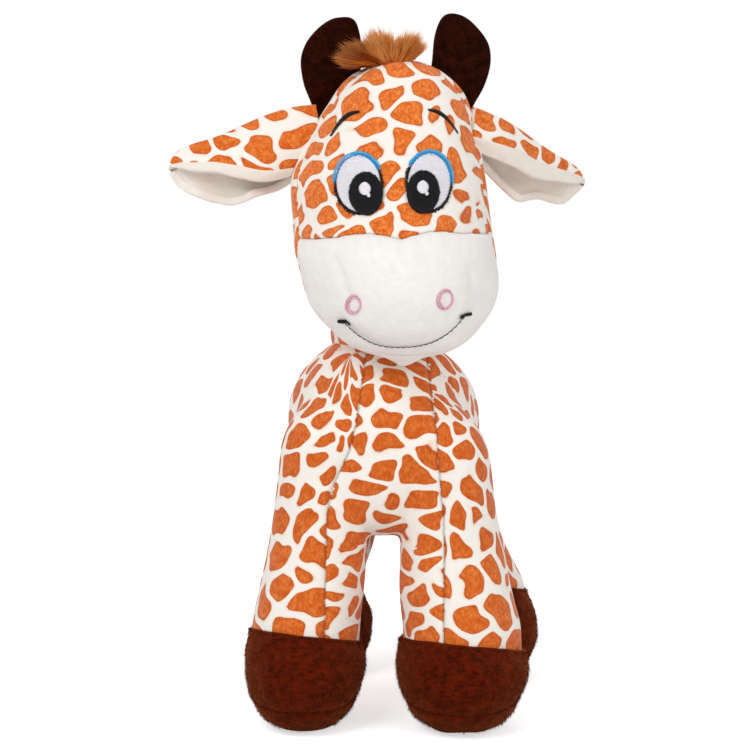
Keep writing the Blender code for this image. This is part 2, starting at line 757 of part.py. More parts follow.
def make_horn(form, side, head, horn_room):
    """A flat horn of two sewn halves, which bends about the seam that it stands on."""
    height = HEAD_BASE + HORN_SEAT_HEIGHT
    seat = form.point(HORN_SEAT_TURN, form.t_at(height))
    inner = form.point(HORN_SEAT_TURN, form.t_at(height + HORN_HALF_WIDTH / 2))
    seam = Vector((side * (seat.x - inner.x), 0, seat.z - inner.z)).normalized() * side
    base = Vector((HEAD_SHIFT + side * (seat.x - HEAD_SHIFT), seat.y, seat.z))
    forward = Vector((0, 1, 0))
    hinge = Matrix((seam, forward, seam.cross(forward))).transposed().to_4x4()
    name = side_name(side)
    carried = Carrier(name + "_horn_hinge", Matrix.Translation(base) @ hinge, head)
    lean = Matrix.Rotation(HORN_LEAN * side, 4, "Y")
    place = Matrix.Translation(base) @ lean @ Matrix.Translation((0, 0, -HORN_ROOT))
    for half, face in (("front", -1), ("back", 1)):
        bm = bmesh.new()
        loops = []
        for length, width in HORN_SHARES:
            z = HORN_LENGTH * length
            thickness = HORN_HALF_THICKNESS * math.sqrt(width)
            loop = []
            for k in range(HORN_SIDES + 1 if width else 1):
                turn = math.pi * k / HORN_SIDES
                y = face * (GAP / 2 + thickness * math.sin(turn))
                loop.append(bm.verts.new((HORN_HALF_WIDTH * width * math.cos(turn), y, z)))
            loops.append(loop)
        join_loops(bm, loops, closed=True)
        bm.faces.new(loops[0])
        cut(part(f"{name}_horn_{half}", moved(bm, place), HORN_CLOTH, carried), [horn_room])


def make_leg(end, side, hip, body):
    """One leg: stuffing down into the foot, outer and inner panels, foot cover and sole."""
    name = f"{end}_{side_name(side)}"
    carried = Carrier(name + "_hip", Matrix.Translation((side * hip.x, hip.y, hip.z)), body)
    form = leg_form(FRONT_FOOT_SPREAD if end == "front" else HIND_FOOT_SPREAD)
    place = Matrix.Translation((hip.x, hip.y, 0))
    sole_top = SOLE_THICKNESS + GAP
    stuffing = solid(form, LEG_SIDES, -SKIN, floor=sole_top)
    part(name + "_leg_stuffing", moved(stuffing, place), FIBRE, carried, side < 0)
    for face, start in (("outer", 0), ("inner", math.pi)):
        turns = fan(start, start + math.pi, LEG_SIDES // 2)
        shape = sheet(form, turns, form.rows(ANKLE_ROW, LEG_TOP_ROW), -CLOTH, 0)
        part(f"{name}_leg_{face}_panel", moved(shape, place), PRINT, carried, side < 0)
    rows = [t for t in form.rows(floor=sole_top) if t <= form.rows()[ANKLE_ROW]]
    cover = sheet(form, all_round(LEG_SIDES), rows, -CLOTH, 0, closed=True)
    part(name + "_foot_cover", moved(cover, place), BROWN_PLUSH, carried, side < 0)
    sole = bmesh.new()
    loops = []
    for height in (0, SOLE_THICKNESS):
        points = [form.bare(u, 0) for u in all_round(LEG_SIDES)(0)]
        loops.append([sole.verts.new((point.x, point.y, height)) for point in points])
        sole.faces.new(loops[-1])
    join_loops(sole, loops, closed=True)
    part(name + "_sole", moved(sole, place), BROWN_PLUSH, carried, side < 0)


def make_tuft(form, head):
    """The fur sewn into the dart on the crown."""
    base = form.rings[-1][0] + GAP
    tuft = Form([(base + TUFT_HEIGHT * height, HEAD_SHIFT, TUFT_HALF_WIDTH * width,
                  TUFT_HALF_DEPTH * width, TUFT_HALF_DEPTH * width) for height, width in TUFT_SHARES])
    part("crown_tuft", solid(tuft, TUFT_SIDES), FUR, head)


def make_tail(body):
    """The tail and its fur, hanging close behind the rump."""
    height = HIP_HEIGHT + TAIL_ABOVE_HIP
    pivot = Vector((0, RUMP_REACH + TAIL_CLEARANCE + TAIL_RADIUS, height))
    carried = Carrier("tail_hinge", Matrix.Translation(pivot), body)
    place = Matrix.Translation((0, pivot.y, 0))
    end = height - TAIL_LENGTH
    sizes = (0, TAIL_RADIUS, TAIL_RADIUS, TAIL_RADIUS)
    tube = Form([(end, *sizes), (height, *sizes), *dome(height, TAIL_RADIUS, 1, DOME_STEPS)])
    part("tail", moved(solid(tube, TUFT_SIDES), place), PRINT, carried)
    fur = Form([(end - GAP - TAIL_TUFT_LENGTH * (1 - share), 0, *[TAIL_TUFT_RADIUS * width] * 3)
                for share, width in TAIL_TUFT_SHARES])
    part("tail_tuft", moved(solid(fur, TUFT_SIDES), place), FUR, carried)


def centre_on_floor(toy):
    """Moves the toy so that the middle of its box stands over the origin."""
    bpy.context.view_layer.update()
    graph = bpy.context.evaluated_depsgraph_get()
    corners = []
    for obj in bpy.context.scene.objects:
        if obj.type == "MESH" and not obj.hide_render:
            evaluated = obj.evaluated_get(graph)
            corners += [evaluated.matrix_world @ vertex.co for vertex in evaluated.data.vertices]
    for axis in (0, 1):
        values = [corner[axis] for corner in corners]
        toy.location[axis] = -(min(values) + max(values)) / 2
    bpy.context.view_layer.update()


def main():
    for obj in list(bpy.data.objects):
        bpy.data.objects.remove(obj)
    toy = Carrier("giraffe", Matrix())
    body = Carrier("body", Matrix(), toy)
    pivot = Matrix.Translation((0, 0, NECK_HEIGHT))
    neck = Carrier("neck_turn", pivot, body)
    head = Carrier("head_nod", pivot, neck)
    legs = (("front", Vector((FRONT_HIP_SPREAD, -FRONT_HIP_REACH, HIP_HEIGHT))),
            ("hind", Vector((HIND_HIP_SPREAD, HIND_HIP_REACH, HIP_HEIGHT))))
    make_body(body, legs)
    make_neck(neck)
    form = head_form()
    make_head(form, head)
    ear_room = cutter("ear_room", solid(form, BODY_SIDES, EAR_ROOM), head)
    horn_room = cutter("horn_room", solid(form, BODY_SIDES, HORN_ROOM), head)
    make_lines(form, head)
    for side, droop, sweep in ((1, LEFT_EAR_DROOP, LEFT_EAR_SWEEP), (-1, RIGHT_EAR_DROOP, RIGHT_EAR_SWEEP)):
        make_eye(form, side, head)
        make_ear(form, side, droop, sweep, head, ear_room)
        make_horn(form, side, head, horn_room)
        for end, hip in legs:
            make_leg(end, side, hip, body)
    make_tuft(form, head)
    make_tail(body)
    neck.empty.matrix_local = pivot @ Matrix.Rotation(HEAD_TURN, 4, "Z")
    head.empty.matrix_local = Matrix.Rotation(HEAD_NOD, 4, "X") @ Matrix.Rotation(HEAD_ROLL, 4, "Y")
    centre_on_floor(toy.empty)
    for obj in bpy.context.scene.objects:
        if obj.type == "EMPTY":
            place = [round(value, 5) for value in obj.matrix_world.translation]
            axis = [round(value, 5) for value in obj.matrix_world.col[0][:3]]
            print("joint", obj.name, place, axis)


main()
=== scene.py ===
"""Standing plush giraffe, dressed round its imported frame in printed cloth, plush, thread and fur."""

import json
import math

import bmesh
import bpy
import numpy as np
from mathutils import Matrix, Vector
from mathutils.kdtree import KDTree


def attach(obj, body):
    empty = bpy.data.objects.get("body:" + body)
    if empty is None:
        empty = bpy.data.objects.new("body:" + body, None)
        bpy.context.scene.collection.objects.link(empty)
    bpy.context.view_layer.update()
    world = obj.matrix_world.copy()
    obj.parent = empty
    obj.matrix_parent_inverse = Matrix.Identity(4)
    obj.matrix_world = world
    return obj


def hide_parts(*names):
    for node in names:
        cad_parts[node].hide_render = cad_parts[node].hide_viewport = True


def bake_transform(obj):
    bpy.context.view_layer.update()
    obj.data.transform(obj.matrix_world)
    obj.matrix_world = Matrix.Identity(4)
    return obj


bl_info = {
    "name": "Plush Giraffe",
    "version": (1, 0, 0),
    "blender": (4, 5, 0),
    "location": "View3D > Sidebar > Giraffe",
    "description": "Dresses the frame of a standing plush giraffe",
    "category": "Object",
}

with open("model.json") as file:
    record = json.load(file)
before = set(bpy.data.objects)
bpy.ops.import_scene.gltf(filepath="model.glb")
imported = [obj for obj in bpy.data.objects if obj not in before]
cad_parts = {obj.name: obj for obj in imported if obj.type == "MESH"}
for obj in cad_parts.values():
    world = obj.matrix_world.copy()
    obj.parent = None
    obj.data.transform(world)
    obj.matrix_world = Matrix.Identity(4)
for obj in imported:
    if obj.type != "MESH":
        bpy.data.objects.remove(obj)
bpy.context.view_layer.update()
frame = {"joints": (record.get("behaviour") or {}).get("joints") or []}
JOINTS = {joint["name"]: joint for joint in frame["joints"]}
SIDES = (("left", 1), ("right", -1))
ENDS = ("front", "hind")

# The neck's axis stands under the head's pivot, and the head's forms are made about it
NECK = np.array(JOINTS["neck_turn"]["pos_m"])
NECK_AXIS = NECK * (1, 1, 0)
HIPS = {f"{end}_{side}": np.array(JOINTS[f"{end}_{side}_hip_swing"]["pos_m"])
        for end in ENDS for side, _ in SIDES}

# Rows of the body: shares of its height, half width, chest reach and rump reach
BODY_SHARES = (
    (0.000, 0.00, -0.20, 0.098),
    (0.010, 0.46, 0.58, 0.46),
    (0.039, 0.70, 0.80, 0.68),
    (0.097, 0.86, 0.955, 0.82),
    (0.185, 0.93, 1.045, 0.91),
    (0.292, 0.955, 1.085, 0.97),
    (0.400, 0.975, 1.07, 0.985),
    (0.500, 1.00, 1.04, 0.955),
    (0.600, 0.99, 1.00, 0.88),
    (0.690, 0.93, 0.94, 0.76),
    (0.770, 0.835, 0.87, 0.63),
    (0.840, 0.71, 0.79, 0.50),
    (0.900, 0.57, 0.68, 0.385),
    (0.950, 0.42, 0.53, 0.27),
    (0.985, 0.25, 0.29, 0.14),
    (1.000, 0.00, 0.00, 0.00),
)
# Rows of a foot: shares of its height, half width, toe reach and heel reach
FOOT_SHARES = (
    (0.000, 0.42, 0.55, 0.40),
    (0.030, 0.55, 0.70, 0.56),
    (0.085, 0.67, 0.81, 0.72),
    (0.170, 0.79, 0.90, 0.86),
    (0.290, 0.89, 0.965, 0.95),
    (0.440, 0.965, 1.00, 1.00),
    (0.620, 1.01, 0.98, 1.02),
    (0.800, 1.02, 0.90, 1.03),
    (1.000, 0.98, 0.76, 1.00),
)
# Rows of a leg: its height as a share of the way from the foot to the hip, how much foot is left in it,
# its radius as a share, and how far it leans in as a share of its whole lean
SHIN_SHARES = (
    (-0.25, 1.00, 1.00, 0.00),
    (0.00, 0.97, 1.00, 0.00),
    (0.12, 0.84, 1.00, 0.21),
    (0.28, 0.60, 1.00, 0.47),
    (0.48, 0.32, 0.97, 0.59),
    (0.72, 0.10, 0.94, 0.78),
    (1.00, 0.00, 0.92, 1.00),
)
# Rows of a leg's top: shares of its radius above the hip, of its radius and of its whole lean
LEG_TOP_SHARES = ((0.45, 0.91, 1.3), (0.85, 0.79, 1.7), (1.20, 0.56, 2.2), (1.50, 0.00, 2.6))
# Rows of the head: shares of its height, half width, face reach and nape reach, and how far its middle
# lies to its left as a share of its half width
HEAD_SHARES = (
    (0.014, 0.00, 0.520, -0.78, 0.06),
    (0.024, 0.25, 0.670, -0.59, 0.06),
    (0.042, 0.45, 0.775, -0.38, 0.06),
    (0.070, 0.64, 0.870, 0.00, 0.06),
    (0.105, 0.755, 0.920, 0.30, 0.06),
    (0.145, 0.855, 0.965, 0.56, 0.055),
    (0.190, 0.925, 0.990, 0.72, 0.045),
    (0.245, 0.965, 1.000, 0.83, 0.03),
    (0.300, 0.985, 0.985, 0.91, 0.01),
    (0.350, 0.995, 0.950, 0.95, -0.005),
    (0.395, 0.995, 0.895, 0.97, -0.015),
    (0.430, 0.992, 0.835, 0.98, -0.025),
    (0.465, 0.990, 0.780, 0.99, -0.035),
    (0.505, 0.990, 0.730, 1.00, -0.045),
    (0.555, 0.985, 0.680, 0.995, -0.050),
    (0.605, 0.970, 0.625, 0.98, -0.048),
    (0.660, 0.935, 0.560, 0.945, -0.035),
    (0.715, 0.885, 0.490, 0.895, -0.010),
    (0.765, 0.830, 0.425, 0.835, 0.020),
    (0.815, 0.765, 0.360, 0.765, 0.045),
    (0.858, 0.698, 0.305, 0.690, 0.065),
    (0.895, 0.625, 0.250, 0.610, 0.075),
    (0.927, 0.540, 0.205, 0.520, 0.080),
    (0.955, 0.430, 0.160, 0.420, 0.085),
    (0.978, 0.300, 0.110, 0.310, 0.085),
    (0.992, 0.180, 0.060, 0.200, 0.085),
    (1.000, 0.00, -0.025, 0.035, 0.085),
)
# Rows of an ear: shares of its length, of its half height up to its top and down to its lower edge, and of
# its half depth
EAR_SHARES = (
    (0.00, 0.77, 0.71, 0.70),
    (0.13, 0.82, 0.76, 0.90),
    (0.25, 0.80, 0.89, 1.00),
    (0.36, 0.74, 1.05, 1.00),
    (0.46, 0.66, 1.18, 0.96),
    (0.55, 0.58, 1.24, 0.92),
    (0.64, 0.52, 1.15, 0.84),
    (0.73, 0.49, 1.02, 0.74),
    (0.82, 0.47, 0.93, 0.62),
    (0.90, 0.42, 0.74, 0.48),
    (0.955, 0.30, 0.48, 0.34),
    (0.985, 0.17, 0.25, 0.20),
    (1.00, 0.02, 0.06, 0.06),
)
# How much of its height each ear keeps above and below its middle
EAR_TRIM_SHARES = {"right": (1.0, 1.0), "left": (0.70, 0.86)}
# The front edge of each ear's print: turns from straight ahead, in degrees, at shares of the ear's length
PRINT_EDGE_SHARES = {
    "right": ((0.00, -72), (0.12, -60), (0.28, -31), (0.41, -5), (0.56, 11), (0.71, 20), (0.83, 31),
              (1.0, 50)),
    "left": ((0.00, -20), (0.12, -6), (0.26, 14), (0.39, 21), (0.55, 29), (0.80, 45), (0.93, 64), (1.0, 70)),
}
# Rows of a horn: shares of its length, half width, and how far its middle lies outwards
HORN_SHARES = (
    (0.00, 0.66, 0.00),
    (0.18, 0.80, 0.02),
    (0.38, 0.95, 0.05),
    (0.58, 1.00, 0.05),
    (0.75, 0.93, 0.00),
    (0.87, 0.76, -0.07),
    (0.95, 0.52, -0.14),
    (0.99, 0.26, -0.18),
    (1.00, 0.00, -0.20),
)
# The chest panel's half width as a share of the body's, at shares of the body's height
CHEST_SEAM_SHARES = ((0.00, 0.57), (0.15, 0.56), (0.29, 0.51), (0.44, 0.43), (0.65, 0.365), (1.00, 0.28))

# The print on each part: a spot's width and height with the gap beside it, and how deep its dye is, which is
# partly the print's own and partly painted shade, most on the body under the head and none on the head
PRINTS = {
    "side": (0.0140, 0.0160, 0.40),
    "outer_leg": (0.0140, 0.0160, 0.30),
    "belly": (0.0165, 0.0118, 0.40),
    "inner_leg": (0.0165, 0.0118, 0.30),
    "neck": (0.0145, 0.0165, 0.34),
    "head": (0.0168, 0.0176, 0.00),
    "left_ear": (0.0118, 0.0116, 0.15),
    "right_ear": (0.0142, 0.0138, 0.15),
    "tail": (0.0130, 0.0135, 0.34),
}
# How deep and how wide the lumps of the stuffing show through the cloth of each part, in metres
LUMPS = {
    "body": (0.00045, 0.030),
    "foot": (0.00035, 0.016),
    "neck": (0.00050, 0.020),
    "head": (0.00040, 0.026),
    "horn": (0.00030, 0.020),
    "tail": (0.00020, 0.012),
}
# The finish and the record's slot of each cloth
PRINTED = ("velboa_printed", "printed_cloth")
WHITE_PLUSH = ("minky_white", "white_plush")
# The ears' lining is the muzzle's white minky painted creamier and darker, as shade and warm bounced light in
# their hollows
LINING_PLUSH = ("minky_white_painted_shade", "white_plush")
BROWN_PLUSH = ("minky_brown", "brown_plush")
HORN_CLOTH = ("velboa_brown", "horn_cloth")
FAUX_FUR = ("faux_fur_brown", "fur")
# A distance from the nearest seam at which nothing of it shows
NO_SEAM = 0.02


def length(name, default, description):
    return bpy.props.FloatProperty(name=name, description=description, default=default, min=0,
                                   unit="LENGTH", precision=4)


def angle(name, default, description):
    return bpy.props.FloatProperty(name=name, description=description, default=math.radians(default),
                                   subtype="ANGLE")


def linear(hex_colour):
    """A colour written as sRGB hex, as the linear values that shaders take."""
    values = [int(hex_colour[k:k + 2], 16) / 255 for k in (1, 3, 5)]
    return [v / 12.92 if v <= 0.04045 else ((v + 0.055) / 1.055) ** 2.4 for v in values]


def colour(name, default, description):
    return bpy.props.FloatVectorProperty(name=name, description=description, default=linear(default),
                                         min=0, max=1, size=3, subtype="COLOR")


class GiraffeBodySizes(bpy.types.PropertyGroup):
    """Sizes of the body and its legs."""

    base: length("Belly height", 0.0905, "From the floor to the belly")
    height: length("Height", 0.1025, "From the belly to the top of the neck inside the head")
    half_width: length("Half width", 0.050, "Half the width of the barrel")
    chest_reach: length("Chest reach", 0.052, "From the neck's axis forward to the chest")
    rump_reach: length("Rump reach", 0.106, "From the neck's axis back to the rump")
    leg_radius: length("Leg radius", 0.0245, "Radius of a leg at the hip")
    belly_seam: length("Belly seam height", 0.108, "Height of the seam between the belly and the flanks")
    shift: length("Shift", 0.0043, "How far the body leans to its own right of the neck's axis")
    seam_lean: length("Seam lean", 0.0047, "How far the chest panel's top lies to the toy's left")
    front_lean: length("Front lean", 0.0022, "How far a front leg leans in at the hip")
    side_lean: length("Side lean", 0.0012, "How much more the left legs lean in than the right")
    hind_lean: length("Hind lean", 0.0125, "How far a hind leg leans in at the hip")
    split: length("Leg height", 0.0893, "Height at which the legs leave the body")
    knee: length("Bend height", 0.062, "Height under which a leg swings whole")


class GiraffeFootSizes(bpy.types.PropertyGroup):
    """Sizes of a foot."""

    height: length("Height", 0.046, "From the floor to the ankle")
    half_width: length("Half width", 0.0318, "Half the width across the toes")
    toe_reach: length("Toe reach", 0.047, "From the hip forward to the toes")
    heel_reach: length("Heel reach", 0.0215, "From the hip back to the heel")
    right_spread: length("Right spread", 0.0073, "How far the right front foot stands out from under its hip")
    left_spread: length("Left spread", 0.0043, "How far the left front foot stands out from under its hip")
    hind_spread: length("Hind spread", 0.0110, "How far the left hind foot stands out from under its hip")
    hind_tuck: length("Hind tuck", 0.0030, "How much less the right hind foot stands out")
    right_narrow: length("Right narrowing", 0.0043, "How much narrower each half of the right front foot is")
    left_narrow: length("Left narrowing", 0.0017, "How much narrower each half of the left front foot is")
    hind_slim: bpy.props.FloatProperty(name="Hind slimness", default=0.24, subtype="FACTOR",
                                       description="How much slimmer the hind ankles are")
    right_drop: length("Right drop", 0.0040, "How far the right front foot's seam lies under the ankle")
    left_drop: length("Left drop", 0.0080, "How far the left front foot's seam lies under the ankle")
    instep: length("Instep", 0.0058, "How much higher the seam lies over the instep")
    slant: length("Slant", 0.0030, "How much the seam falls towards the toy's left at each side")
    pile: length("Pile", 0.0012, "How far the foot's plush stands proud of the leg")
    sole_seam: length("Sole seam", 0.0135, "Height of the crease where the sole is sewn in")


class GiraffeHeadSizes(bpy.types.PropertyGroup):
    """The head's overall sizes and the way it sits on the neck."""

    height: length("Height", 0.143, "From the base of the chin to the crown")
    half_width: length("Half width", 0.050, "Half the width across the muzzle")
    face_reach: length("Face reach", 0.0815, "From the neck's axis forward to the muzzle")
    nape_reach: length("Nape reach", 0.0575, "From the neck's axis back to the nape")
    chin_drop: length("Chin drop", 0.012, "How far the chin's base lies under the neck's pivot")
    shift: length("Shift", 0.003, "How far the head sits to its own left of the neck's axis")
    turn: angle("Turn", 5, "How far the head looks to its own left")
    nod: angle("Nod", 4.5, "How far the heavy head hangs forward")
    roll: angle("Roll", -1.5, "How far the head leans over to one side")
    muzzle_top: length("Muzzle seam", 0.0612, "Height of the muzzle's top seam over the chin's base")
    chin_top: length("Chin seam", 0.0065, "Height of the seam under the mouth over the chin's base")
    neck_radius: length("Neck radius", 0.031, "Radius of the neck inside the head and the collar")
    front_seam: angle("Front seam", 72, "Turn from the front at which the face is sewn to the sides")
    back_seam: angle("Back seam", 126, "Turn from the front at which the sides are sewn to the back")
    jaw: angle("Jaw", 24, "How much further back the front seam runs round the jaw")


class GiraffeFaceSizes(bpy.types.PropertyGroup):
    """Sizes and places of the features sewn on the face, whose heights are over the chin's base."""

    eye_spread: length("Eye spread", 0.0170, "From midway between the eyes to the middle of each")
    eye_height: length("Eye height", 0.0855, "Height of the eyes' middles")
    eye_shift: length("Eye shift", 0.0017, "How far the eyes lie to the toy's right of the face's middle")
    eye_half_width: length("Eye half width", 0.0118, "Half the width of an eye at its outline")
    eye_half_height: length("Eye half height", 0.0142, "Half the height of an eye at its outline")
    eye_tilt: angle("Eye tilt", 5, "How far the eyes lean to the toy's left")
    pupil_half_width: length("Pupil half width", 0.0079, "Half the width of a pupil")
    pupil_half_height: length("Pupil half height", 0.0097, "Half the height of a pupil")
    pupil_inset: length("Pupil inset", 0.0034, "How far a pupil lies towards the nose in its eye")
    pupil_drop: length("Pupil drop", 0.0046, "How far a pupil lies under its eye's middle")
    mouth_shift: length("Mouth shift", 0.0010, "How far the mouth lies to the toy's left")
    mouth_half_width: length("Mouth half width", 0.0277, "Half the width of the mouth")
    mouth_corner: length("Mouth corner height", 0.0228, "Height of the mouth's corners")
    mouth_dip: length("Mouth dip", 0.0130, "How far the mouth's middle hangs under its corners")
    brow_bulge: length("Brow bulge", 0.0030, "How far a brow bows up from a straight line")
    brow_half_thickness: length("Brow half thickness", 0.0010, "Half the thickness of a brow")


class GiraffePrintSizes(bpy.types.PropertyGroup):
    """The printed spots and the seams that cut them."""

    spot: length("Spot", 0.0150, "Width of a spot with the gap beside it")
    gap: length("Gap", 0.0031, "Width of the undyed cloth between two spots")
    halo: length("Halo", 0.0009, "Width of the pale bleed round a spot")
    groove: length("Seam depth", 0.0011, "How deep a seam pulls the cloth in")
    groove_width: length("Seam width", 0.0016, "How far from a seam the cloth is pulled in")
    pucker: length("Pucker", 0.0060, "Length of one pucker along a seam")
    pucker_reach: length("Pucker reach", 0.0045, "How far from a seam its puckers run")
    thickness: length("Cloth", 0.0011, "Thickness of the cloth with its pile")


class GiraffeClothColours(bpy.types.PropertyGroup):
    """Colours of the cloth, plush and fur."""

    ground: colour("Ground", "#FCF6EE", "Undyed ground of the printed cloth")
    spot: colour("Spot", "#E9711F", "Middle of a printed spot")
    # Painted highlight: the lightest streaks in a spot, where its pile lies towards the light
    spot_pile_highlight: colour("Light spot", "#F99C4C", "Where the pile of a spot lies towards the light")
    spot_edge: colour("Spot edge", "#C2510F", "Thin dark rim of a spot")
    # Partly the body's own deeper dye and partly painted shade under the head
    spot_deep_and_shaded: colour("Deep spot", "#B9480E", "Dye of the deepest printed spots, on the body")
    halo: colour("Halo", "#FBE6D2", "Pale bleed of dye round a spot")
    plush: colour("White plush", "#FCF8F4", "Muzzle and chin")
    # Painted shade: the white lining painted warmer and darker for the shade and warm bounced light in the
    # ears' hollows
    lining: colour("Lining", "#F8EEE4", "Plush that lines the ears")
    foot: colour("Foot", "#360803", "Brown plush of the feet")
    # Painted sheen: lighter patches and rows where the brushed pile catches the light
    foot_sheen_patch: colour("Rubbed foot", "#661A05", "Brown plush where its pile is brushed over")
    horn: colour("Horn", "#170502", "Dark brown cloth of the horns")
    # Painted highlight: the tips of the horns' pile where they catch the light
    horn_tip_sheen: colour("Horn speckle", "#361208", "Tips of the horns' pile")
    fur: colour("Fur", "#DE7B26", "Light strands of the tuft")
    fur_dark: colour("Dark fur", "#822E0A", "Dark strands of the tuft")
    fur_tip: colour("Fur tips", "#F2B26E", "Pale ends of the strands")


class GiraffeThreadColours(bpy.types.PropertyGroup):
    """Colours of the embroidery."""

    white: colour("White", "#FBF8FE", "Whites of the eyes and their glints")
    black: colour("Black", "#19191D", "Pupils, outlines, brows and mouth")
    blue: colour("Blue", "#1480C0", "Eyelids")
    blue_light: colour("Light blue", "#3FB8EA", "Outer rows of the eyelids")
    pink: colour("Pink", "#F4B4CA", "Nostrils")


def smooth(values, f):
    """A curve through the two middle rows that leaves for their neighbours."""
    a, b, c, d = values
    return b + f / 2 * (c - a + f * (2 * a - 5 * b + 4 * c - d + f * (3 * (b - c) + d - a)))


def ease(value, low, high):
    """From 0 at low to 1 at high, with soft ends."""
    share = np.clip((value - low) / (high - low), 0, 1)
    return share * share * (3 - 2 * share)


def bell(distance, width):
    """1 on a line, and falling softly to 0 at both sides of it."""
    return np.exp(-(distance / width) ** 2)


def ring_turns(columns):
    """Even turns round a ring, from the front."""
    return np.arange(columns) * 2 * math.pi / columns


def unit(vectors):
    """Vectors made one long."""
    return vectors / np.maximum(np.linalg.norm(vectors, axis=-1, keepdims=True), 1e-12)


def wander(values, seed, waves=5):
    """A smooth random curve over the values, within about 1 either way and one wave to each unit."""
    draws = np.random.default_rng(seed)
    total = np.zeros_like(values, dtype=float)
    for _ in range(waves):
        total += np.sin(2 * math.pi * (values * draws.uniform(0.35, 1.6) + draws.uniform()))
    return total / math.sqrt(waves)


class Form:
    """A stuffed volume: a stack of rings, each a height, a middle, a half width and two reaches."""

    def __init__(self, rings):
        self.rings = np.array(rings, float)
        self.last = len(rings) - 1

    def ring(self, t):
        """The rings at the given shares of the way up, on a smooth curve through them all."""
        place = np.clip(t, 0, 1) * self.last
        i = np.minimum(place.astype(int), self.last - 1)
        near = [self.rings[np.clip(i + k, 0, self.last)] for k in (-1, 0, 1, 2)]
        return smooth(near, (place - i)[..., None])

    def point(self, u, t):
        """The points at turns u from the front and shares t up the form."""
        u, t = np.broadcast_arrays(np.asarray(u, float), np.asarray(t, float))
        height, middle, half_width, front, back = np.moveaxis(self.ring(t), -1, 0)
        y = (back - front) / 2 - (back + front) / 2 * np.cos(u)
        return np.stack([middle + half_width * np.sin(u), y, height], -1)

    def normal(self, u, t):
        """The outward directions there."""
        step = 2e-3
        u, t = np.broadcast_arrays(np.asarray(u, float), np.asarray(t, float))
        t = np.clip(t, 2 * step, 1 - 2 * step)
        across = self.point(u + step, t) - self.point(u - step, t)
        along = self.point(u, t + step) - self.point(u, t - step)
        return unit(np.cross(across, along))

    def t_at(self, height):
        """The shares of the way up of the rings at the given heights."""
        steps = np.linspace(0, 1, 60 * self.last + 1)
        return np.interp(height, np.maximum.accumulate(self.ring(steps)[:, 0]), steps)

    def turn_at(self, across, t):
        """The turns from the front at which the form's front half lies at the given places across."""
        ring = self.ring(t)
        return np.arcsin(np.clip((across - ring[..., 1]) / ring[..., 2], -1, 1))


def grid_faces(rows, columns, closed=False):
    """The faces between a grid's points, whose normals point out of a form."""
    index = np.arange(rows * columns).reshape(rows, columns)
    left = index if closed else index[:, :-1]
    right = np.roll(index, -1, axis=1) if closed else index[:, 1:]
    return np.stack([left[:-1], right[:-1], right[1:], left[1:]], -1).reshape(-1, 4)


def end_faces(rows, columns, start=0):
    """The faces that close both ends of a grid rolled into a tube."""
    first = np.arange(columns) + start
    return [first[::-1].tolist(), (first + (rows - 1) * columns).tolist()]


def thickened(points, normals, faces, thickness):
    """A sheet as a closed shell: its face, its back, and a rim between them round every edge."""
    count = len(points)
    corners = faces.shape[1]
    edges = np.concatenate([faces[:, [k, (k + 1) % corners]] for k in range(corners)])
    keys = np.sort(edges, 1)
    _, first, uses = np.unique(keys, axis=0, return_index=True, return_counts=True)
    rim = edges[first[uses == 1]]
    quads = np.stack([rim[:, 1], rim[:, 0], rim[:, 0] + count, rim[:, 1] + count], 1)
    both = np.concatenate([points, points - normals * thickness])
    return both, [*faces.tolist(), *(faces[:, ::-1] + count).tolist(), *quads.tolist()]


def mesh_normals(points, faces):
    """The smooth outward directions of a mesh's points."""
    a, b, c = (points[faces[:, k]] for k in (0, 1, 2))
    weight = np.cross(b - a, c - a)
    total = np.zeros_like(points)
    for k in range(faces.shape[1]):
        np.add.at(total, faces[:, k], weight)
    return unit(total)


def tubes(paths, radii, ups, sides=4, flat=1.0):
    """Closed tubes along many paths at once, as points and faces. Flat squashes them towards the cloth."""
    way = unit(np.gradient(paths, axis=1))
    side = unit(np.cross(way, ups))
    up = np.cross(side, way)
    turns = 2 * math.pi * (np.arange(sides) + 0.5) / sides
    ring = (side[:, :, None] * np.cos(turns)[:, None] + up[:, :, None] * np.sin(turns)[:, None] * flat)
    points = paths[:, :, None] + ring * radii[:, :, None, None]
    count, steps = paths.shape[:2]
    index = np.arange(count * steps * sides).reshape(count, steps, sides)
    near, far = index[:, :-1], index[:, 1:]
    quads = np.stack([near, np.roll(near, -1, 2), np.roll(far, -1, 2), far], -1).reshape(-1, 4)
    caps = [*index[:, 0, ::-1].tolist(), *index[:, -1].tolist()]
    return points.reshape(-1, 3), [*quads.tolist(), *caps]


def piece(name, points, faces, cloth, bodies, stands_for=(), normals=None,
          values=None):
    """One named piece with the finish of its cloth, on the body it rides on; one that lies between two bodies
    is left on neither.
    """
    finish, slot = cloth
    mesh = bpy.data.meshes.new(name)
    mesh.from_pydata(np.asarray(points).tolist(), [], faces if isinstance(faces, list) else faces.tolist())
    for key, data in (values or {}).items():
        data = np.asarray(data, float)
        kind = "FLOAT_VECTOR" if data.ndim == 2 else "FLOAT"
        layer = mesh.attributes.new(key, kind, "POINT")
        layer.data.foreach_set("vector" if data.ndim == 2 else "value", data.ravel())
    mesh.shade_smooth()
    if normals is not None:
        mesh.normals_split_custom_set_from_vertices(np.asarray(normals).tolist())
    mesh.materials.append(bpy.data.materials[finish])
    mesh.validate()
    obj = bpy.data.objects.new(name, mesh)
    bpy.context.scene.collection.objects.link(obj)
    if isinstance(bodies, str):
        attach(obj, bodies)
    else:
        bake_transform(obj)
    if stands_for:
        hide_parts(*stands_for)


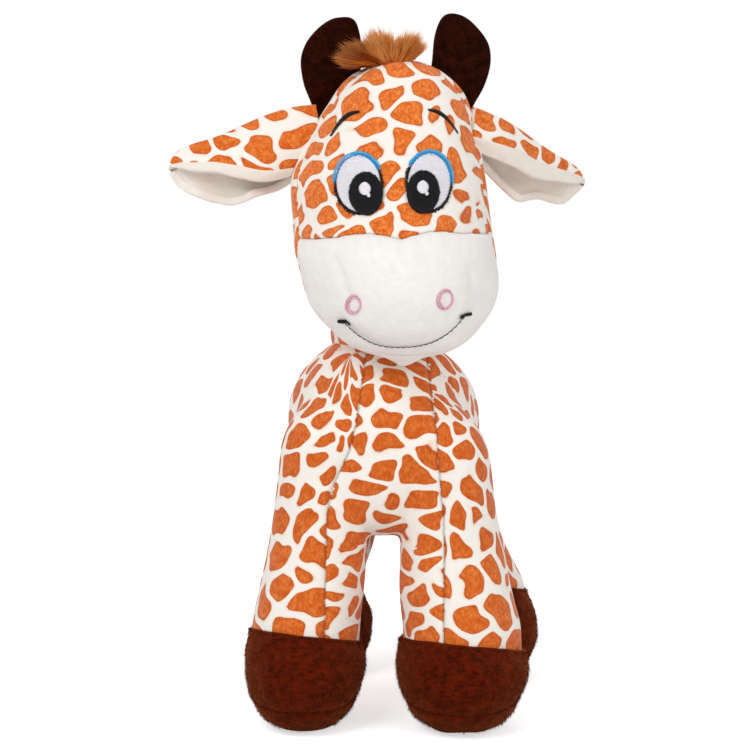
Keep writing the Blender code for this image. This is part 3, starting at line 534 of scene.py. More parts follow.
def head_place():
    """How the head's form, made about the neck's axis, sits on the neck."""
    sizes = bpy.context.scene.giraffe_head
    return (Matrix.Translation(Vector(NECK)) @ Matrix.Rotation(sizes.turn, 4, "Z")
            @ Matrix.Rotation(sizes.nod, 4, "X") @ Matrix.Rotation(sizes.roll, 4, "Y")
            @ Matrix.Translation((0, 0, -NECK[2])))


def placed(points, matrix):
    """Points moved by a matrix."""
    whole = np.array(matrix)
    return points @ whole[:3, :3].T + whole[:3, 3]


def turned(vectors, matrix):
    """Directions turned by a matrix."""
    return vectors @ np.array(matrix)[:3, :3].T


def body_form(sizes):
    """The barrel, from the belly up to the top of the neck."""
    return Form([(sizes.base + sizes.height * height, -sizes.shift, sizes.half_width * width,
                  sizes.chest_reach * front, sizes.rump_reach * back)
                 for height, width, front, back in BODY_SHARES])


def stance(name):
    """A foot's half width, how far it stands out from under its hip, and how much slimmer its ankle is."""
    foot = bpy.context.scene.giraffe_foot
    return {
        "front_left": (foot.half_width - foot.left_narrow, foot.left_spread, 0),
        "front_right": (foot.half_width - foot.right_narrow, foot.right_spread, 0),
        "hind_left": (foot.half_width, foot.hind_spread, foot.hind_slim),
        "hind_right": (foot.half_width, foot.hind_spread - foot.hind_tuck, foot.hind_slim),
    }[name]


def leg_form(name):
    """A leg from the ankle up into the body, its hip over X and Y zero, its foot spread to +X."""
    sizes = bpy.context.scene.giraffe_body
    foot = bpy.context.scene.giraffe_foot
    lean = sizes.front_lean if name.startswith("front") else sizes.hind_lean
    lean += sizes.side_lean if name.endswith("left") else -sizes.side_lean
    lean -= foot.hind_tuck if name == "hind_right" else 0
    half_width, spread, slim = stance(name)
    _, width_share, toe_share, heel_share = FOOT_SHARES[-1]
    ankle = (half_width * width_share * (1 - slim), foot.toe_reach * toe_share, foot.heel_reach * heel_share)
    hip_height = HIPS[name][2]
    shin = hip_height - foot.height
    rings = []
    for height, left, width, leaning in SHIN_SHARES:
        radius = sizes.leg_radius * width
        reach = [radius + (size - radius) * left for size in ankle]
        rings.append((foot.height + shin * height, spread * left - lean * leaning, *reach))
    for height, width, leaning in LEG_TOP_SHARES:
        reach = [sizes.leg_radius * width] * 3
        rings.append((hip_height + sizes.leg_radius * height, -lean * leaning, *reach))
    return Form(rings)


def foot_form(name):
    """A foot, whose pile stands proud of the leg and thins out at the sides of the ankle."""
    foot = bpy.context.scene.giraffe_foot
    half_width, spread, slim = stance(name)
    rings = []
    for height, width, toe, heel in FOOT_SHARES:
        side_pile = foot.pile * (1 - 0.6 * height ** 4)
        side_reach = half_width * width * (1 - slim * height ** 2) + side_pile
        rings.append((foot.height * height, spread, side_reach, foot.toe_reach * toe + foot.pile,
                      foot.heel_reach * heel + foot.pile))
    return Form(rings)


def ankle_rise(name, turns, side):
    """How far a foot's top seam lies over the ankle at turns round it: over the instep, and to one side."""
    foot = bpy.context.scene.giraffe_foot
    drop = {"front_left": foot.left_drop, "front_right": foot.right_drop}.get(name, 0)
    return foot.instep * np.maximum(np.cos(turns), 0) - foot.slant * side * np.sin(turns) - drop


def head_form(sizes):
    """The head, from the chin's base up to the crown."""
    base = NECK[2] - sizes.chin_drop
    return Form([(base + sizes.height * height, sizes.shift + sizes.half_width * lean,
                  sizes.half_width * width, sizes.face_reach * front, sizes.nape_reach * back)
                 for height, width, front, back, lean in HEAD_SHARES])


def four(rgb):
    return (*rgb, 1)


def add(tree, kind, inputs=None, stops=(), **settings):
    """Adds one shader node, sets its properties and a ramp's stops, and sets or links its inputs."""
    made = tree.nodes.new("ShaderNode" + kind)
    for name, value in settings.items():
        setattr(made, name, value)
    for _ in stops[2:]:
        made.color_ramp.elements.new(0.5)
    for k, (place, rgb) in enumerate(stops):
        made.color_ramp.elements[k].position = place
        made.color_ramp.elements[k].color = four(rgb)
    for key, value in (inputs or {}).items():
        if isinstance(value, bpy.types.NodeSocket):
            tree.links.new(value, made.inputs[key])
        else:
            made.inputs[key].default_value = value
    return made


def blank(name):
    """The empty node tree of a new material."""
    made = bpy.data.materials.new(name)
    made.use_nodes = True
    made.node_tree.nodes.clear()
    return made.node_tree


def surface(tree, base, roughness, bump=None, sheen=0.0, sheen_tint=(1, 1, 1), specular=0.5):
    """A Principled surface joined to the output."""
    inputs = {"Base Color": base, "Roughness": roughness, "Metallic": 0, "IOR": 1.45,
              "Specular IOR Level": specular, "Sheen Weight": sheen, "Sheen Roughness": 0.5,
              "Sheen Tint": four(sheen_tint)}
    if bump is not None:
        inputs["Normal"] = bump.outputs["Normal"]
    shader = add(tree, "BsdfPrincipled", inputs)
    add(tree, "OutputMaterial", {"Surface": shader.outputs["BSDF"]})


def shaded(tree, base, reach):
    """A cloth's colour, darker within reach of a seam, which holds the pile down and gathers shade."""
    seam = add(tree, "Attribute", attribute_name="seam").outputs["Fac"]
    shade = add(tree, "MapRange", {"Value": seam, "From Max": reach, "To Min": 0.55, "To Max": 1.0},
                clamp=True)
    mixed = add(tree, "Mix", {"Factor": 1.0, "A": base, "B": shade.outputs[0]}, data_type="RGBA",
                blend_type="MULTIPLY")
    return mixed.outputs["Result"]


def gap_rise(away):
    """How far the sharp and the smooth distance part at a place that far from midway between two cells."""
    reach = 0.5
    share = min(max(0.5 + away / reach, 0), 1)
    near = share * share * (3 - 2 * share)
    return (1 - near) * (reach * near - 2 * max(away, 0))


def velboa():
    """Velboa: knitted polyester with a short brushed pile, printed with giraffe spots.

    The dye runs down the pile, which gives each spot a dark rim, a pale bleed outside it and streaks
    inside it, whose lightest parts are painted highlight where the pile lies towards the light. The spots on
    the body are painted deeper, partly for their own deeper dye and partly as painted shade under the head.
    The pile itself gives a dull face with a soft light along the edges.
    """
    colours = bpy.context.scene.giraffe_cloth
    sizes = bpy.context.scene.giraffe_print
    tree = blank("velboa_printed")
    spots = add(tree, "Attribute", attribute_name="spots").outputs["Vector"]
    cloth = add(tree, "Attribute", attribute_name="cloth").outputs["Vector"]
    # The nearest cell's sharp distance and its smooth one part midway between two cells, and more where
    # three meet, so what parts them draws round spots with a clear gap
    bend = add(tree, "TexNoise", {"Vector": spots, "Scale": 0.9, "Detail": 1.0}, noise_dimensions="2D")
    push = add(tree, "VectorMath", {0: bend.outputs["Color"], 1: (0.5, 0.5, 0.5)}, operation="SUBTRACT")
    flat = add(tree, "VectorMath", {0: push.outputs[0], 1: (0.75, 0.75, 0)}, operation="MULTIPLY")
    bent = add(tree, "VectorMath", {0: spots, 1: flat.outputs[0]}, operation="ADD").outputs[0]
    cell = {"Vector": bent, "Scale": 1.0, "Randomness": 0.88}
    sharp = add(tree, "TexVoronoi", cell, voronoi_dimensions="2D", feature="F1").outputs["Distance"]
    cell["Smoothness"] = 1.0
    soft = add(tree, "TexVoronoi", cell, voronoi_dimensions="2D", feature="SMOOTH_F1").outputs["Distance"]
    rise = add(tree, "Math", {0: sharp, 1: soft}, operation="SUBTRACT")
    # Tufts of pile about 0.8 mm wide fray each spot's edge
    ragged = add(tree, "TexNoise", {"Vector": cloth, "Scale": 1300, "Detail": 1.0})
    fringe = add(tree, "MapRange", {"Value": ragged.outputs["Fac"], "To Min": -0.008, "To Max": 0.008})
    rise = add(tree, "Math", {0: rise.outputs[0], 1: fringe.outputs[0]}, operation="ADD").outputs[0]
    place = add(tree, "MapRange", {"Value": rise, "From Max": gap_rise(0)}, clamp=True).outputs[0]

    def level(out):
        """The place on the ramp that lies that far outside a spot's edge."""
        return gap_rise((sizes.gap / 2 - out) / sizes.spot) / gap_rise(0)

    # The dye lies in streaks 2.4 mm long and 1.1 mm wide, and in patches of 4 mm, and the lightest of them
    # are painted highlight where the pile lies towards the light
    along = add(tree, "VectorMath", {0: cloth, 1: (900, 420, 900)}, operation="MULTIPLY").outputs[0]
    streaks = add(tree, "TexNoise", {"Vector": along, "Scale": 1.0, "Detail": 3.0, "Roughness": 0.7})
    broad = add(tree, "TexNoise", {"Vector": cloth, "Scale": 260, "Detail": 4.0, "Roughness": 0.7})
    mixed = add(tree, "Math", {0: streaks.outputs["Fac"], 1: broad.outputs["Fac"]}, operation="ADD")
    half = add(tree, "Math", {0: mixed.outputs[0], 1: 0.5}, operation="MULTIPLY")
    dyed = add(tree, "ValToRGB", {"Fac": half.outputs[0]},
               ((0.36, colours.spot_edge), (0.49, colours.spot), (0.62, colours.spot_pile_highlight)))
    # How far a part's spots are painted deeper: partly their own dye, partly painted shade under the head
    dye = add(tree, "Attribute", attribute_name="dye").outputs["Fac"]
    deep = add(tree, "Mix", {"Factor": dye, "A": dyed.outputs["Color"], "B": four(colours.spot_deep_and_shaded)},
               data_type="RGBA")
    bleed = add(tree, "ValToRGB", {"Fac": place},
                ((level(-0.0001), colours.spot_edge), (level(0.0002), colours.halo),
                 (level(sizes.halo), colours.ground)))
    inside = add(tree, "MapRange", {"Value": place, "From Min": level(-0.0001), "From Max": level(-0.0007)},
                 clamp=True)
    printed = add(tree, "Mix", {"Factor": inside.outputs[0], "A": bleed.outputs["Color"],
                                "B": deep.outputs["Result"]}, data_type="RGBA")
    base = shaded(tree, printed.outputs["Result"], 0.0011)
    # Single tufts, about 0.7 mm wide, stand over the streaks
    fine = add(tree, "TexNoise", {"Vector": cloth, "Scale": 1500, "Detail": 2.0})
    rows = add(tree, "Math", {0: fine.outputs["Fac"], 1: streaks.outputs["Fac"]}, operation="ADD")
    bump = add(tree, "Bump", {"Height": rows.outputs[0], "Strength": 0.35, "Distance": 0.0003})
    surface(tree, base, 0.86, bump, sheen=0.25, specular=0.2)


def plush(name, dark, light, sheen_tint, sheen, nap_mm, strength):
    """Minky: a soft 2 mm polyester pile brushed one way, which shows as rows of nap painted lighter and
    darker as sheen and shade, and a light rim.
    """
    tree = blank(name)
    cloth = add(tree, "Attribute", attribute_name="cloth").outputs["Vector"]
    per_metre = 1 / (nap_mm * 0.001)
    across = add(tree, "VectorMath", {0: cloth, 1: (per_metre * 0.28, per_metre, per_metre)},
                 operation="MULTIPLY")
    nap = add(tree, "TexNoise", {"Vector": across.outputs[0], "Scale": 1.0, "Detail": 3.0, "Roughness": 0.6})
    # Patches of 4 mm where the pile was stroked, painted lighter and darker as sheen and shade
    broad = add(tree, "TexNoise", {"Vector": cloth, "Scale": 240, "Detail": 3.0})
    mixed = add(tree, "Math", {0: nap.outputs["Fac"], 1: broad.outputs["Fac"]}, operation="ADD")
    half = add(tree, "Math", {0: mixed.outputs[0], 1: 0.5}, operation="MULTIPLY")
    pile = add(tree, "ValToRGB", {"Fac": half.outputs[0]}, ((0.38, dark), (0.62, light)))
    base = shaded(tree, pile.outputs["Color"], 0.0009)
    bump = add(tree, "Bump", {"Height": mixed.outputs[0], "Strength": strength, "Distance": 0.0006})
    surface(tree, base, 0.9, bump, sheen=sheen, sheen_tint=sheen_tint, specular=0.03)


def white_plush():
    """White minky on the muzzle, and in the ears the same minky painted creamier and darker as shade and warm
    bounced light in their hollows, each painted a little darker between its fibres as shade.
    """
    colours = bpy.context.scene.giraffe_cloth
    for name, light in (("minky_white", colours.plush), ("minky_white_painted_shade", colours.lining)):
        # Painted shade between the fibres: the dark end of the nap is the same white dimmed
        dark = [value * 0.94 for value in light]
        plush(name, dark, light, (1, 1, 1), 0.15, 1.1, 0.30)


def brown_plush():
    """Brown minky, whose sheen is a warm red-brown."""
    colours = bpy.context.scene.giraffe_cloth
    # The lighter patches and rows of nap on the feet are painted sheen
    plush("minky_brown", colours.foot, colours.foot_sheen_patch, (1.0, 0.30, 0.10), 0.38, 1.3, 0.8)


def horn_cloth():
    """Dark brown velboa: flat short pile that takes the light only at the tips of its fibres."""
    colours = bpy.context.scene.giraffe_cloth
    plush("velboa_brown", colours.horn, colours.horn_tip_sheen, (0.7, 0.3, 0.15), 0.06, 0.5, 0.4)


def thread(name, dark, light, roughness=0.42, specular=0.5):
    """Rayon embroidery thread: twisted filaments whose gloss breaks up along each stitch."""
    tree = blank(name)
    shade = add(tree, "Attribute", attribute_name="shade").outputs["Fac"]
    twist = add(tree, "Attribute", attribute_name="along").outputs["Vector"]
    base = add(tree, "ValToRGB", {"Fac": shade}, ((0.0, dark), (1.0, light)))
    # The twist is about 0.5 mm long on the toy and is drawn at 0.8 mm, or it wouldn't show
    wave = add(tree, "TexWave", {"Vector": twist, "Scale": 1 / 0.0008 / (2 * math.pi), "Distortion": 1.0},
               bands_direction="DIAGONAL")
    bump = add(tree, "Bump", {"Height": wave.outputs["Fac"], "Strength": 0.3, "Distance": 0.0001})
    surface(tree, base.outputs["Color"], roughness, bump, sheen=0.05, specular=specular)


def faux_fur():
    """Faux fur: long acrylic strands, darker where they lie deep and paler at their tips."""
    colours = bpy.context.scene.giraffe_cloth
    tree = blank("faux_fur_brown")
    shade = add(tree, "Attribute", attribute_name="shade").outputs["Fac"]
    reach = add(tree, "Attribute", attribute_name="reach").outputs["Fac"]
    body = add(tree, "ValToRGB", {"Fac": shade},
               ((0.0, colours.fur_dark), (0.55, colours.fur), (1.0, colours.fur_tip)))
    tips = add(tree, "MapRange", {"Value": reach, "From Min": 0.6, "From Max": 1.0, "To Max": 0.45},
               clamp=True)
    base = add(tree, "Mix", {"Factor": tips.outputs[0], "A": body.outputs["Color"],
                             "B": four(colours.fur_tip)}, data_type="RGBA")
    surface(tree, base.outputs["Result"], 0.6, specular=0.12)


def remeshed(points, faces, voxel):
    """One even closed skin round several closed forms that run into each other."""
    mesh = bpy.data.meshes.new("forms")
    mesh.from_pydata(points.tolist(), [], faces)
    forms = bpy.data.objects.new("forms", mesh)
    bpy.context.scene.collection.objects.link(forms)
    modifier = forms.modifiers.new("skin", "REMESH")
    modifier.mode = "VOXEL"
    modifier.voxel_size = voxel
    modifier.adaptivity = 0
    graph = bpy.context.evaluated_depsgraph_get()
    found = bpy.data.meshes.new_from_object(forms.evaluated_get(graph))
    bpy.data.objects.remove(forms)
    bpy.data.meshes.remove(mesh)
    return found


def relaxed(points, edges, passes):
    """Points moved halfway to the mean of their neighbours, again and again, which rounds the joins."""
    a, b = edges.T
    count = np.bincount(edges.ravel(), minlength=len(points))[:, None]
    for _ in range(passes):
        total = np.zeros_like(points)
        np.add.at(total, a, points[b])
        np.add.at(total, b, points[a])
        points = (points + total / count) / 2
    return points


def cut_along(bm, field, snap):
    """Divides a mesh's faces along the line where a field of its points is zero."""
    values = field(np.array([vertex.co for vertex in bm.verts]))
    values[np.abs(values) < snap] = 0
    value = dict(zip(bm.verts, values))
    line = [vertex for vertex in bm.verts if value[vertex] == 0]
    crossed = [edge for edge in bm.edges if value[edge.verts[0]] * value[edge.verts[1]] < 0]
    for edge in crossed:
        start, end = edge.verts
        share = value[start] / (value[start] - value[end])
        _, added = bmesh.utils.edge_split(edge, start, share)
        line.append(added)
    bmesh.ops.connect_verts(bm, verts=line)


def seam_field(points):
    """Negative on the underbody, which takes in the chest, belly and inner legs, and zero at its seam."""
    sizes = bpy.context.scene.giraffe_body
    x, y, z = (points - NECK_AXIS).T
    heights, widths = zip(*CHEST_SEAM_SHARES)
    chest = sizes.half_width * np.interp((z - sizes.base) / sizes.height, heights, widths)
    front, hind = (HIPS[f"{end}_left"][1] - NECK[1] for end in ENDS)
    waist = front + sizes.leg_radius / 2
    low = sizes.half_width * (CHEST_SEAM_SHARES[0][1] + 0.12 * ease(y, waist, hind))
    seam = np.where(y < waist, chest, low)
    middle = sizes.seam_lean * ease(z, sizes.belly_seam, sizes.belly_seam + 0.4 * sizes.height)
    return np.maximum(np.abs(x - middle) - seam, np.minimum(z - sizes.belly_seam, y - waist))


# Fillet radii in the tight corners over the legs and on the soft flanks, and the heights between which
# one turns into the other
TIGHT_FILLET = 0.0022
SOFT_FILLET = 0.0062
FILLET_HEIGHTS = (0.108, 0.130)
# Heights between which the print turns under from chest to belly, and over from flank to spine
BELLY_TURN_HEIGHTS = (0.118, 0.150)
SPINE_TURN_HEIGHTS = (0.130, 0.165)
# How far the skin of a leg runs down inside its foot
LEG_TUCK = 0.0015


def body_skin():
    """The sewn skin of the body and legs as one mesh, cut along its seams and where the legs start."""
    sizes = bpy.context.scene.giraffe_body
    foot = bpy.context.scene.giraffe_foot
    voxel = 0.0015
    forms = [(body_form(sizes), NECK_AXIS, 1)]
    for name, hip in HIPS.items():
        forms.append((leg_form(name), hip * (1, 1, 0), 1 if "left" in name else -1))
    points, faces = [], []
    columns, rows = 72, 90
    for form, place, side in forms:
        start = sum(map(len, points))
        ring = form.point(ring_turns(columns)[None], np.linspace(0, 1, rows)[:, None]) * (side, 1, 1) + place
        quads = grid_faces(rows, columns, closed=True) + start
        made = [*quads.tolist(), *end_faces(rows, columns, start)]
        faces += made if side > 0 else [face[::-1] for face in made]
        points.append(ring.reshape(-1, 3))
    found = remeshed(np.concatenate(points), faces, voxel)
    bm = bmesh.new()
    bm.from_mesh(found)
    coords = np.array([vertex.co for vertex in bm.verts])
    edges = np.array([[vertex.index for vertex in edge.verts] for edge in bm.edges])
    # The belly meets the legs in a tight corner, and the flanks run into them softly
    tight, soft = (relaxed(coords, edges, int(4 * (fillet / voxel) ** 2))
                   for fillet in (TIGHT_FILLET, SOFT_FILLET))
    coords = tight + (soft - tight) * ease(coords[:, 2:], *FILLET_HEIGHTS)
    for vertex, place in zip(bm.verts, coords):
        vertex.co = place
    snap = voxel / 6
    ankle = foot.height - foot.left_drop - foot.slant - LEG_TUCK
    cut_along(bm, seam_field, snap)
    cut_along(bm, lambda points: points[:, 0] - NECK[0], snap)
    cut_along(bm, lambda points: points[:, 2] - sizes.split, snap)
    cut_along(bm, lambda points: points[:, 2] - ankle, snap)
    bmesh.ops.triangulate(bm, faces=bm.faces)
    bm.verts.index_update()
    points = np.array([vertex.co for vertex in bm.verts])
    faces = np.array([[vertex.index for vertex in face.verts] for face in bm.faces])
    bm.free()
    bpy.data.meshes.remove(found)
    return points, faces[points[faces][:, :, 2].mean(1) > ankle], snap


def seam_points(points, snap):
    """The points of the skin that lie on a sewn seam."""
    field = seam_field(points)
    spine = (np.abs(points[:, 0] - NECK[0]) < snap) & (field > 0)
    return (np.abs(field) < snap) | spine


def seam_distance(points, on_seam, reach):
    """How far each point is from the nearest point on a seam, up to a reach."""
    places = points[on_seam]
    tree = KDTree(len(places))
    for k, place in enumerate(places):
        tree.insert(place, k)
    tree.balance()
    found = np.full(len(points), reach)
    for k, place in enumerate(points):
        hit = tree.find(place)[2]
        found[k] = min(hit, reach)
    return found


def drawn_in(points, normals, distance, seed):
    """Points pulled in along a seam, deeper at each pucker."""
    sizes = bpy.context.scene.giraffe_print
    ripple = 0.5 + 0.5 * wander(points.sum(1) / sizes.pucker, seed)
    groove = sizes.groove * bell(distance, sizes.groove_width)
    pucker = 0.45 * sizes.groove * ripple * np.exp(-distance / sizes.pucker_reach)
    return points - normals * (groove + pucker)[:, None]


def dented(points, normals, part, seed):
    """Points moved in and out a little, as a stuffed cloth lies uneven over its fibre."""
    depth, size = LUMPS[part]
    draws = np.random.default_rng(seed)
    total = np.zeros(len(points))
    for _ in range(9):
        way = unit(draws.normal(size=3)) * 2 * math.pi / size * draws.uniform(0.6, 1.5)
        total += np.sin(points @ way + draws.uniform(0, 2 * math.pi))
    return points + normals * (total * depth / 3)[:, None]


def hips_from_neck():
    """Places of the front and the hind left hips from the neck's axis, across and back."""
    return [HIPS[f"{end}_left"][:2] - NECK[:2] for end in ENDS]


def cloth_radius():
    """Radius of a leg at which its print is rolled round it."""
    return 1.1 * bpy.context.scene.giraffe_body.leg_radius


def flank_cloth(points, legs):
    """Places on the side panels' cloth: along the toy from its front leg, and up."""
    sizes = bpy.context.scene.giraffe_body
    x, y, z = (points - NECK_AXIS).T
    x = np.abs(x)
    (front_x, front_y), (hind_x, hind_y) = hips_from_neck()
    span = hind_y - front_y
    radius = cloth_radius()
    around = radius * (np.arctan2(x - front_x, front_y - y) - math.pi / 2)
    hind = span + radius * (np.arctan2(x - hind_x, hind_y - y) - math.pi / 2)
    leg = np.where(y < (front_y + hind_y) / 2, around, hind)
    # The shoulder turns about a line further in than the leg's
    shoulder = 1.15 * radius * (np.arctan2(x - 0.55 * front_x, front_y - y) - math.pi / 2)
    rump = span + 1.6 * radius * np.arctan2(y - hind_y, np.maximum(x - 0.3 * radius, 1e-3))
    barrel = np.where(y < front_y, shoulder, np.where(y < hind_y, y - front_y, rump))
    blend_height = 0.022 + 0.035 * ease(front_y - y, 0, 0.015)
    low = sizes.split - 0.002
    blend = 0 if legs else ease(z, low, low + blend_height)
    rise = ease(z, *SPINE_TURN_HEIGHTS) * np.maximum(sizes.half_width - x, 0) * 0.6
    return np.stack([leg + (barrel - leg) * blend, z + rise], -1)


def underbody_cloth(points, legs):
    """Places on the underbody's cloth: across, and up the chest or forward along the belly."""
    sizes = bpy.context.scene.giraffe_body
    x, y, z = (points - NECK_AXIS).T
    if not legs:
        turn = 2 * ease(z, *BELLY_TURN_HEIGHTS) - 1
        return np.stack([x, z + turn * np.maximum(0, y + 0.87 * sizes.chest_reach)], -1)
    front, hind = hips_from_neck()
    at_front = y < (front[1] + hind[1]) / 2
    hip_x, hip_y = (np.where(at_front, front[k], hind[k]) for k in (0, 1))
    across = hip_x - cloth_radius() * np.arctan2(hip_x - np.abs(x), hip_y - y)
    return np.stack([np.sign(x) * across, z], -1)


def fine_places(cloth, seed):
    """Cloth places in metres for the fine textures."""
    return np.column_stack([cloth[:, 0], cloth[:, 1] + seed, np.zeros(len(cloth))])


def print_values(part, cloth, seed, seam, layers=2):
    """What a printed piece's finish reads at its points, the same on each layer of its cloth."""
    # Its depth of dye is partly the print's own and partly painted shade
    width, height, dye = PRINTS[part]
    # Counted in spots, and moved by the seed to a part of the print that no other panel uses
    spots = np.column_stack([cloth[:, 0] / width + 37.3 * seed, cloth[:, 1] / height + 11.7 * seed,
                             np.zeros(len(cloth))])
    return {"spots": np.tile(spots, (layers, 1)), "cloth": np.tile(fine_places(cloth, seed), (layers, 1)),
            "seam": np.tile(seam, layers), "dye": np.full(len(cloth) * layers, dye)}


def pile(points, facing, seed, count, reach, nap):
    """Fibres that stand on a surface and lean the way its nap is brushed, as points and faces."""
    draws = np.random.default_rng(seed)
    chosen = draws.integers(0, len(points), count)
    out = facing[chosen]
    root = points[chosen] + draws.normal(0, 0.0004, out.shape) - out * 0.0003
    way = unit(out * draws.uniform(0.3, 0.9, (count, 1)) + nap + draws.normal(0, 0.20, out.shape))
    share = np.linspace(0, 1, 3)[None, :, None]
    paths = root[:, None] + way[:, None] * share * reach * draws.uniform(0.5, 1.2, (count, 1, 1))
    paths = paths + out[:, None] * (share * (1 - share)) * reach * 0.5
    radii = 0.00011 * np.broadcast_to(1.05 - share[..., 0], paths.shape[:2])
    return tubes(paths, radii, np.broadcast_to(out[:, None], paths.shape), 3)


def joined(parts):
    """Several sets of points and faces as one."""
    points, faces = [], []
    for more, quads in parts:
        start = sum(map(len, points))
        points.append(more)
        faces += [[corner + start for corner in face] for face in quads]
    return np.concatenate(points), faces


def skin_piece(name, skin, mask, part, seed, bodies, stands_for):
    """One panel of the skin as a closed shell of cloth, shaded as one surface with its neighbours."""
    points, faces, normals, distance = skin
    chosen = faces[mask]
    used, index = np.unique(chosen, return_inverse=True)
    index = index.reshape(chosen.shape)
    place, facing = points[used], normals[used]
    flat = flank_cloth if part in ("side", "outer_leg") else underbody_cloth
    cloth = flat(place, part.endswith("leg"))
    both, quads = thickened(place, facing, index, bpy.context.scene.giraffe_print.thickness)
    piece(name, both, quads, PRINTED, bodies, stands_for,
          normals=np.concatenate([facing, -facing]), values=print_values(part, cloth, seed, distance[used]))


class GiraffePieceOperator:
    """What the operators that make pieces share."""

    bl_options = {"REGISTER", "UNDO"}


class GIRAFFE_OT_body(GiraffePieceOperator, bpy.types.Operator):
    """Sews the body and the legs: chest and belly panel, two side panels, and two panels to each leg"""

    bl_idname = "giraffe.body"
    bl_label = "Body and legs"

    def execute(self, context):
        sizes = context.scene.giraffe_body
        points, faces, snap = body_skin()
        distance = seam_distance(points, seam_points(points, snap), NO_SEAM)
        normals = mesh_normals(points, faces)
        points = dented(points, normals, "body", 3)
        points = drawn_in(points, normals, distance, 4)
        skin = (points, faces, mesh_normals(points, faces), distance)
        middle = points[faces].mean(1)
        inside = seam_field(middle) < 0
        low = middle[:, 2] < sizes.split
        left = middle[:, 0] > NECK[0]
        front = middle[:, 1] < (HIPS["front_left"][1] + HIPS["hind_left"][1]) / 2
        skin_piece("underbody_panel", skin, inside & ~low, "belly", 1, "body",
                   ("chest_panel", "belly_panel", "body_stuffing"))
        for side, sign in SIDES:
            on_side = left if sign > 0 else ~left
            seed = 3 + sign
            skin_piece(f"{side}_side_panel", skin, ~inside & ~low & on_side, "side", seed, "body",
                       (f"{side}_body_panel",))
            for end in ENDS:
                leg = f"{end}_{side}"
                here = low & on_side & (front if end == "front" else ~front)
                bodies = ("body", leg + "_leg")
                skin_piece(leg + "_leg_outer", skin, here & ~inside, "outer_leg", seed, bodies,
                           (leg + "_leg_outer_panel", leg + "_leg_stuffing"))
                skin_piece(leg + "_leg_inner", skin, here & inside, "inner_leg", 1, bodies,
                           (leg + "_leg_inner_panel",))
        return {"FINISHED"}


# Depth and width of the crease where a sole is sewn in
SOLE_GROOVE = (0.0006, 0.0014)
# How far the ankle narrows for each metre that its seam is lifted over the instep
INSTEP_NARROWING = 0.17
# Thickness of the feet's plush and of the horns' cloth
FOOT_PLUSH, HORN_PLUSH = 0.0012, 0.0009
# The cover's edge rolled in at the ankle: steps up and in from its rim
ANKLE_ROLL = ((0.0011, 0.0010), (0.0007, 0.0024), (-0.0008, 0.0036))
# The nap of the feet is brushed down, and stands up only at the rolled edge
NAP_DOWN = (0, 0, -1.0)
NAP_UP = (0, 0, 0.6)


def foot_grid(foot, form, kind, turns, rise):
    """A sole's or a foot cover's points, outward directions and distances from the sole's seam, in rows."""
    seam_t = float(form.t_at(foot.sole_seam))
    t = np.linspace(0, seam_t, 16) if kind == "sole" else np.linspace(seam_t, 1, 46)
    grid = form.point(turns[None], t[:, None])
    facing = form.normal(turns[None], t[:, None])
    height = grid[..., 2:3]
    gap = np.abs(height - foot.sole_seam)[..., 0]
    lift = rise * ease(height, foot.sole_seam, foot.height)
    grid = grid + lift * (0, 0, 1) - facing * INSTEP_NARROWING * lift
    grid = grid - facing * (SOLE_GROOVE[0] * bell(gap, SOLE_GROOVE[1]))[..., None]
    if kind == "sole":
        middle = grid[:1].mean(1, keepdims=True)
        disc = middle + (grid[:1] - middle) * np.linspace(0.02, 0.94, 14)[:, None, None]
        grid = np.concatenate([disc, grid])
        facing = np.concatenate([np.broadcast_to((0.0, 0.0, -1.0), disc.shape), facing])
        gap = np.concatenate([np.full(disc.shape[:2], NO_SEAM), gap])
    else:
        inward = facing[-1:] * (1, 1, 0)
        curl = np.concatenate([grid[-1:] + (0, 0, over) - inward * inset for over, inset in ANKLE_ROLL])
        grid = np.concatenate([grid, curl])
        facing = np.concatenate([facing, np.repeat(facing[-1:], len(ANKLE_ROLL), 0)])
        gap = np.concatenate([gap, np.full(curl.shape[:2], NO_SEAM)])
    return grid, facing, gap


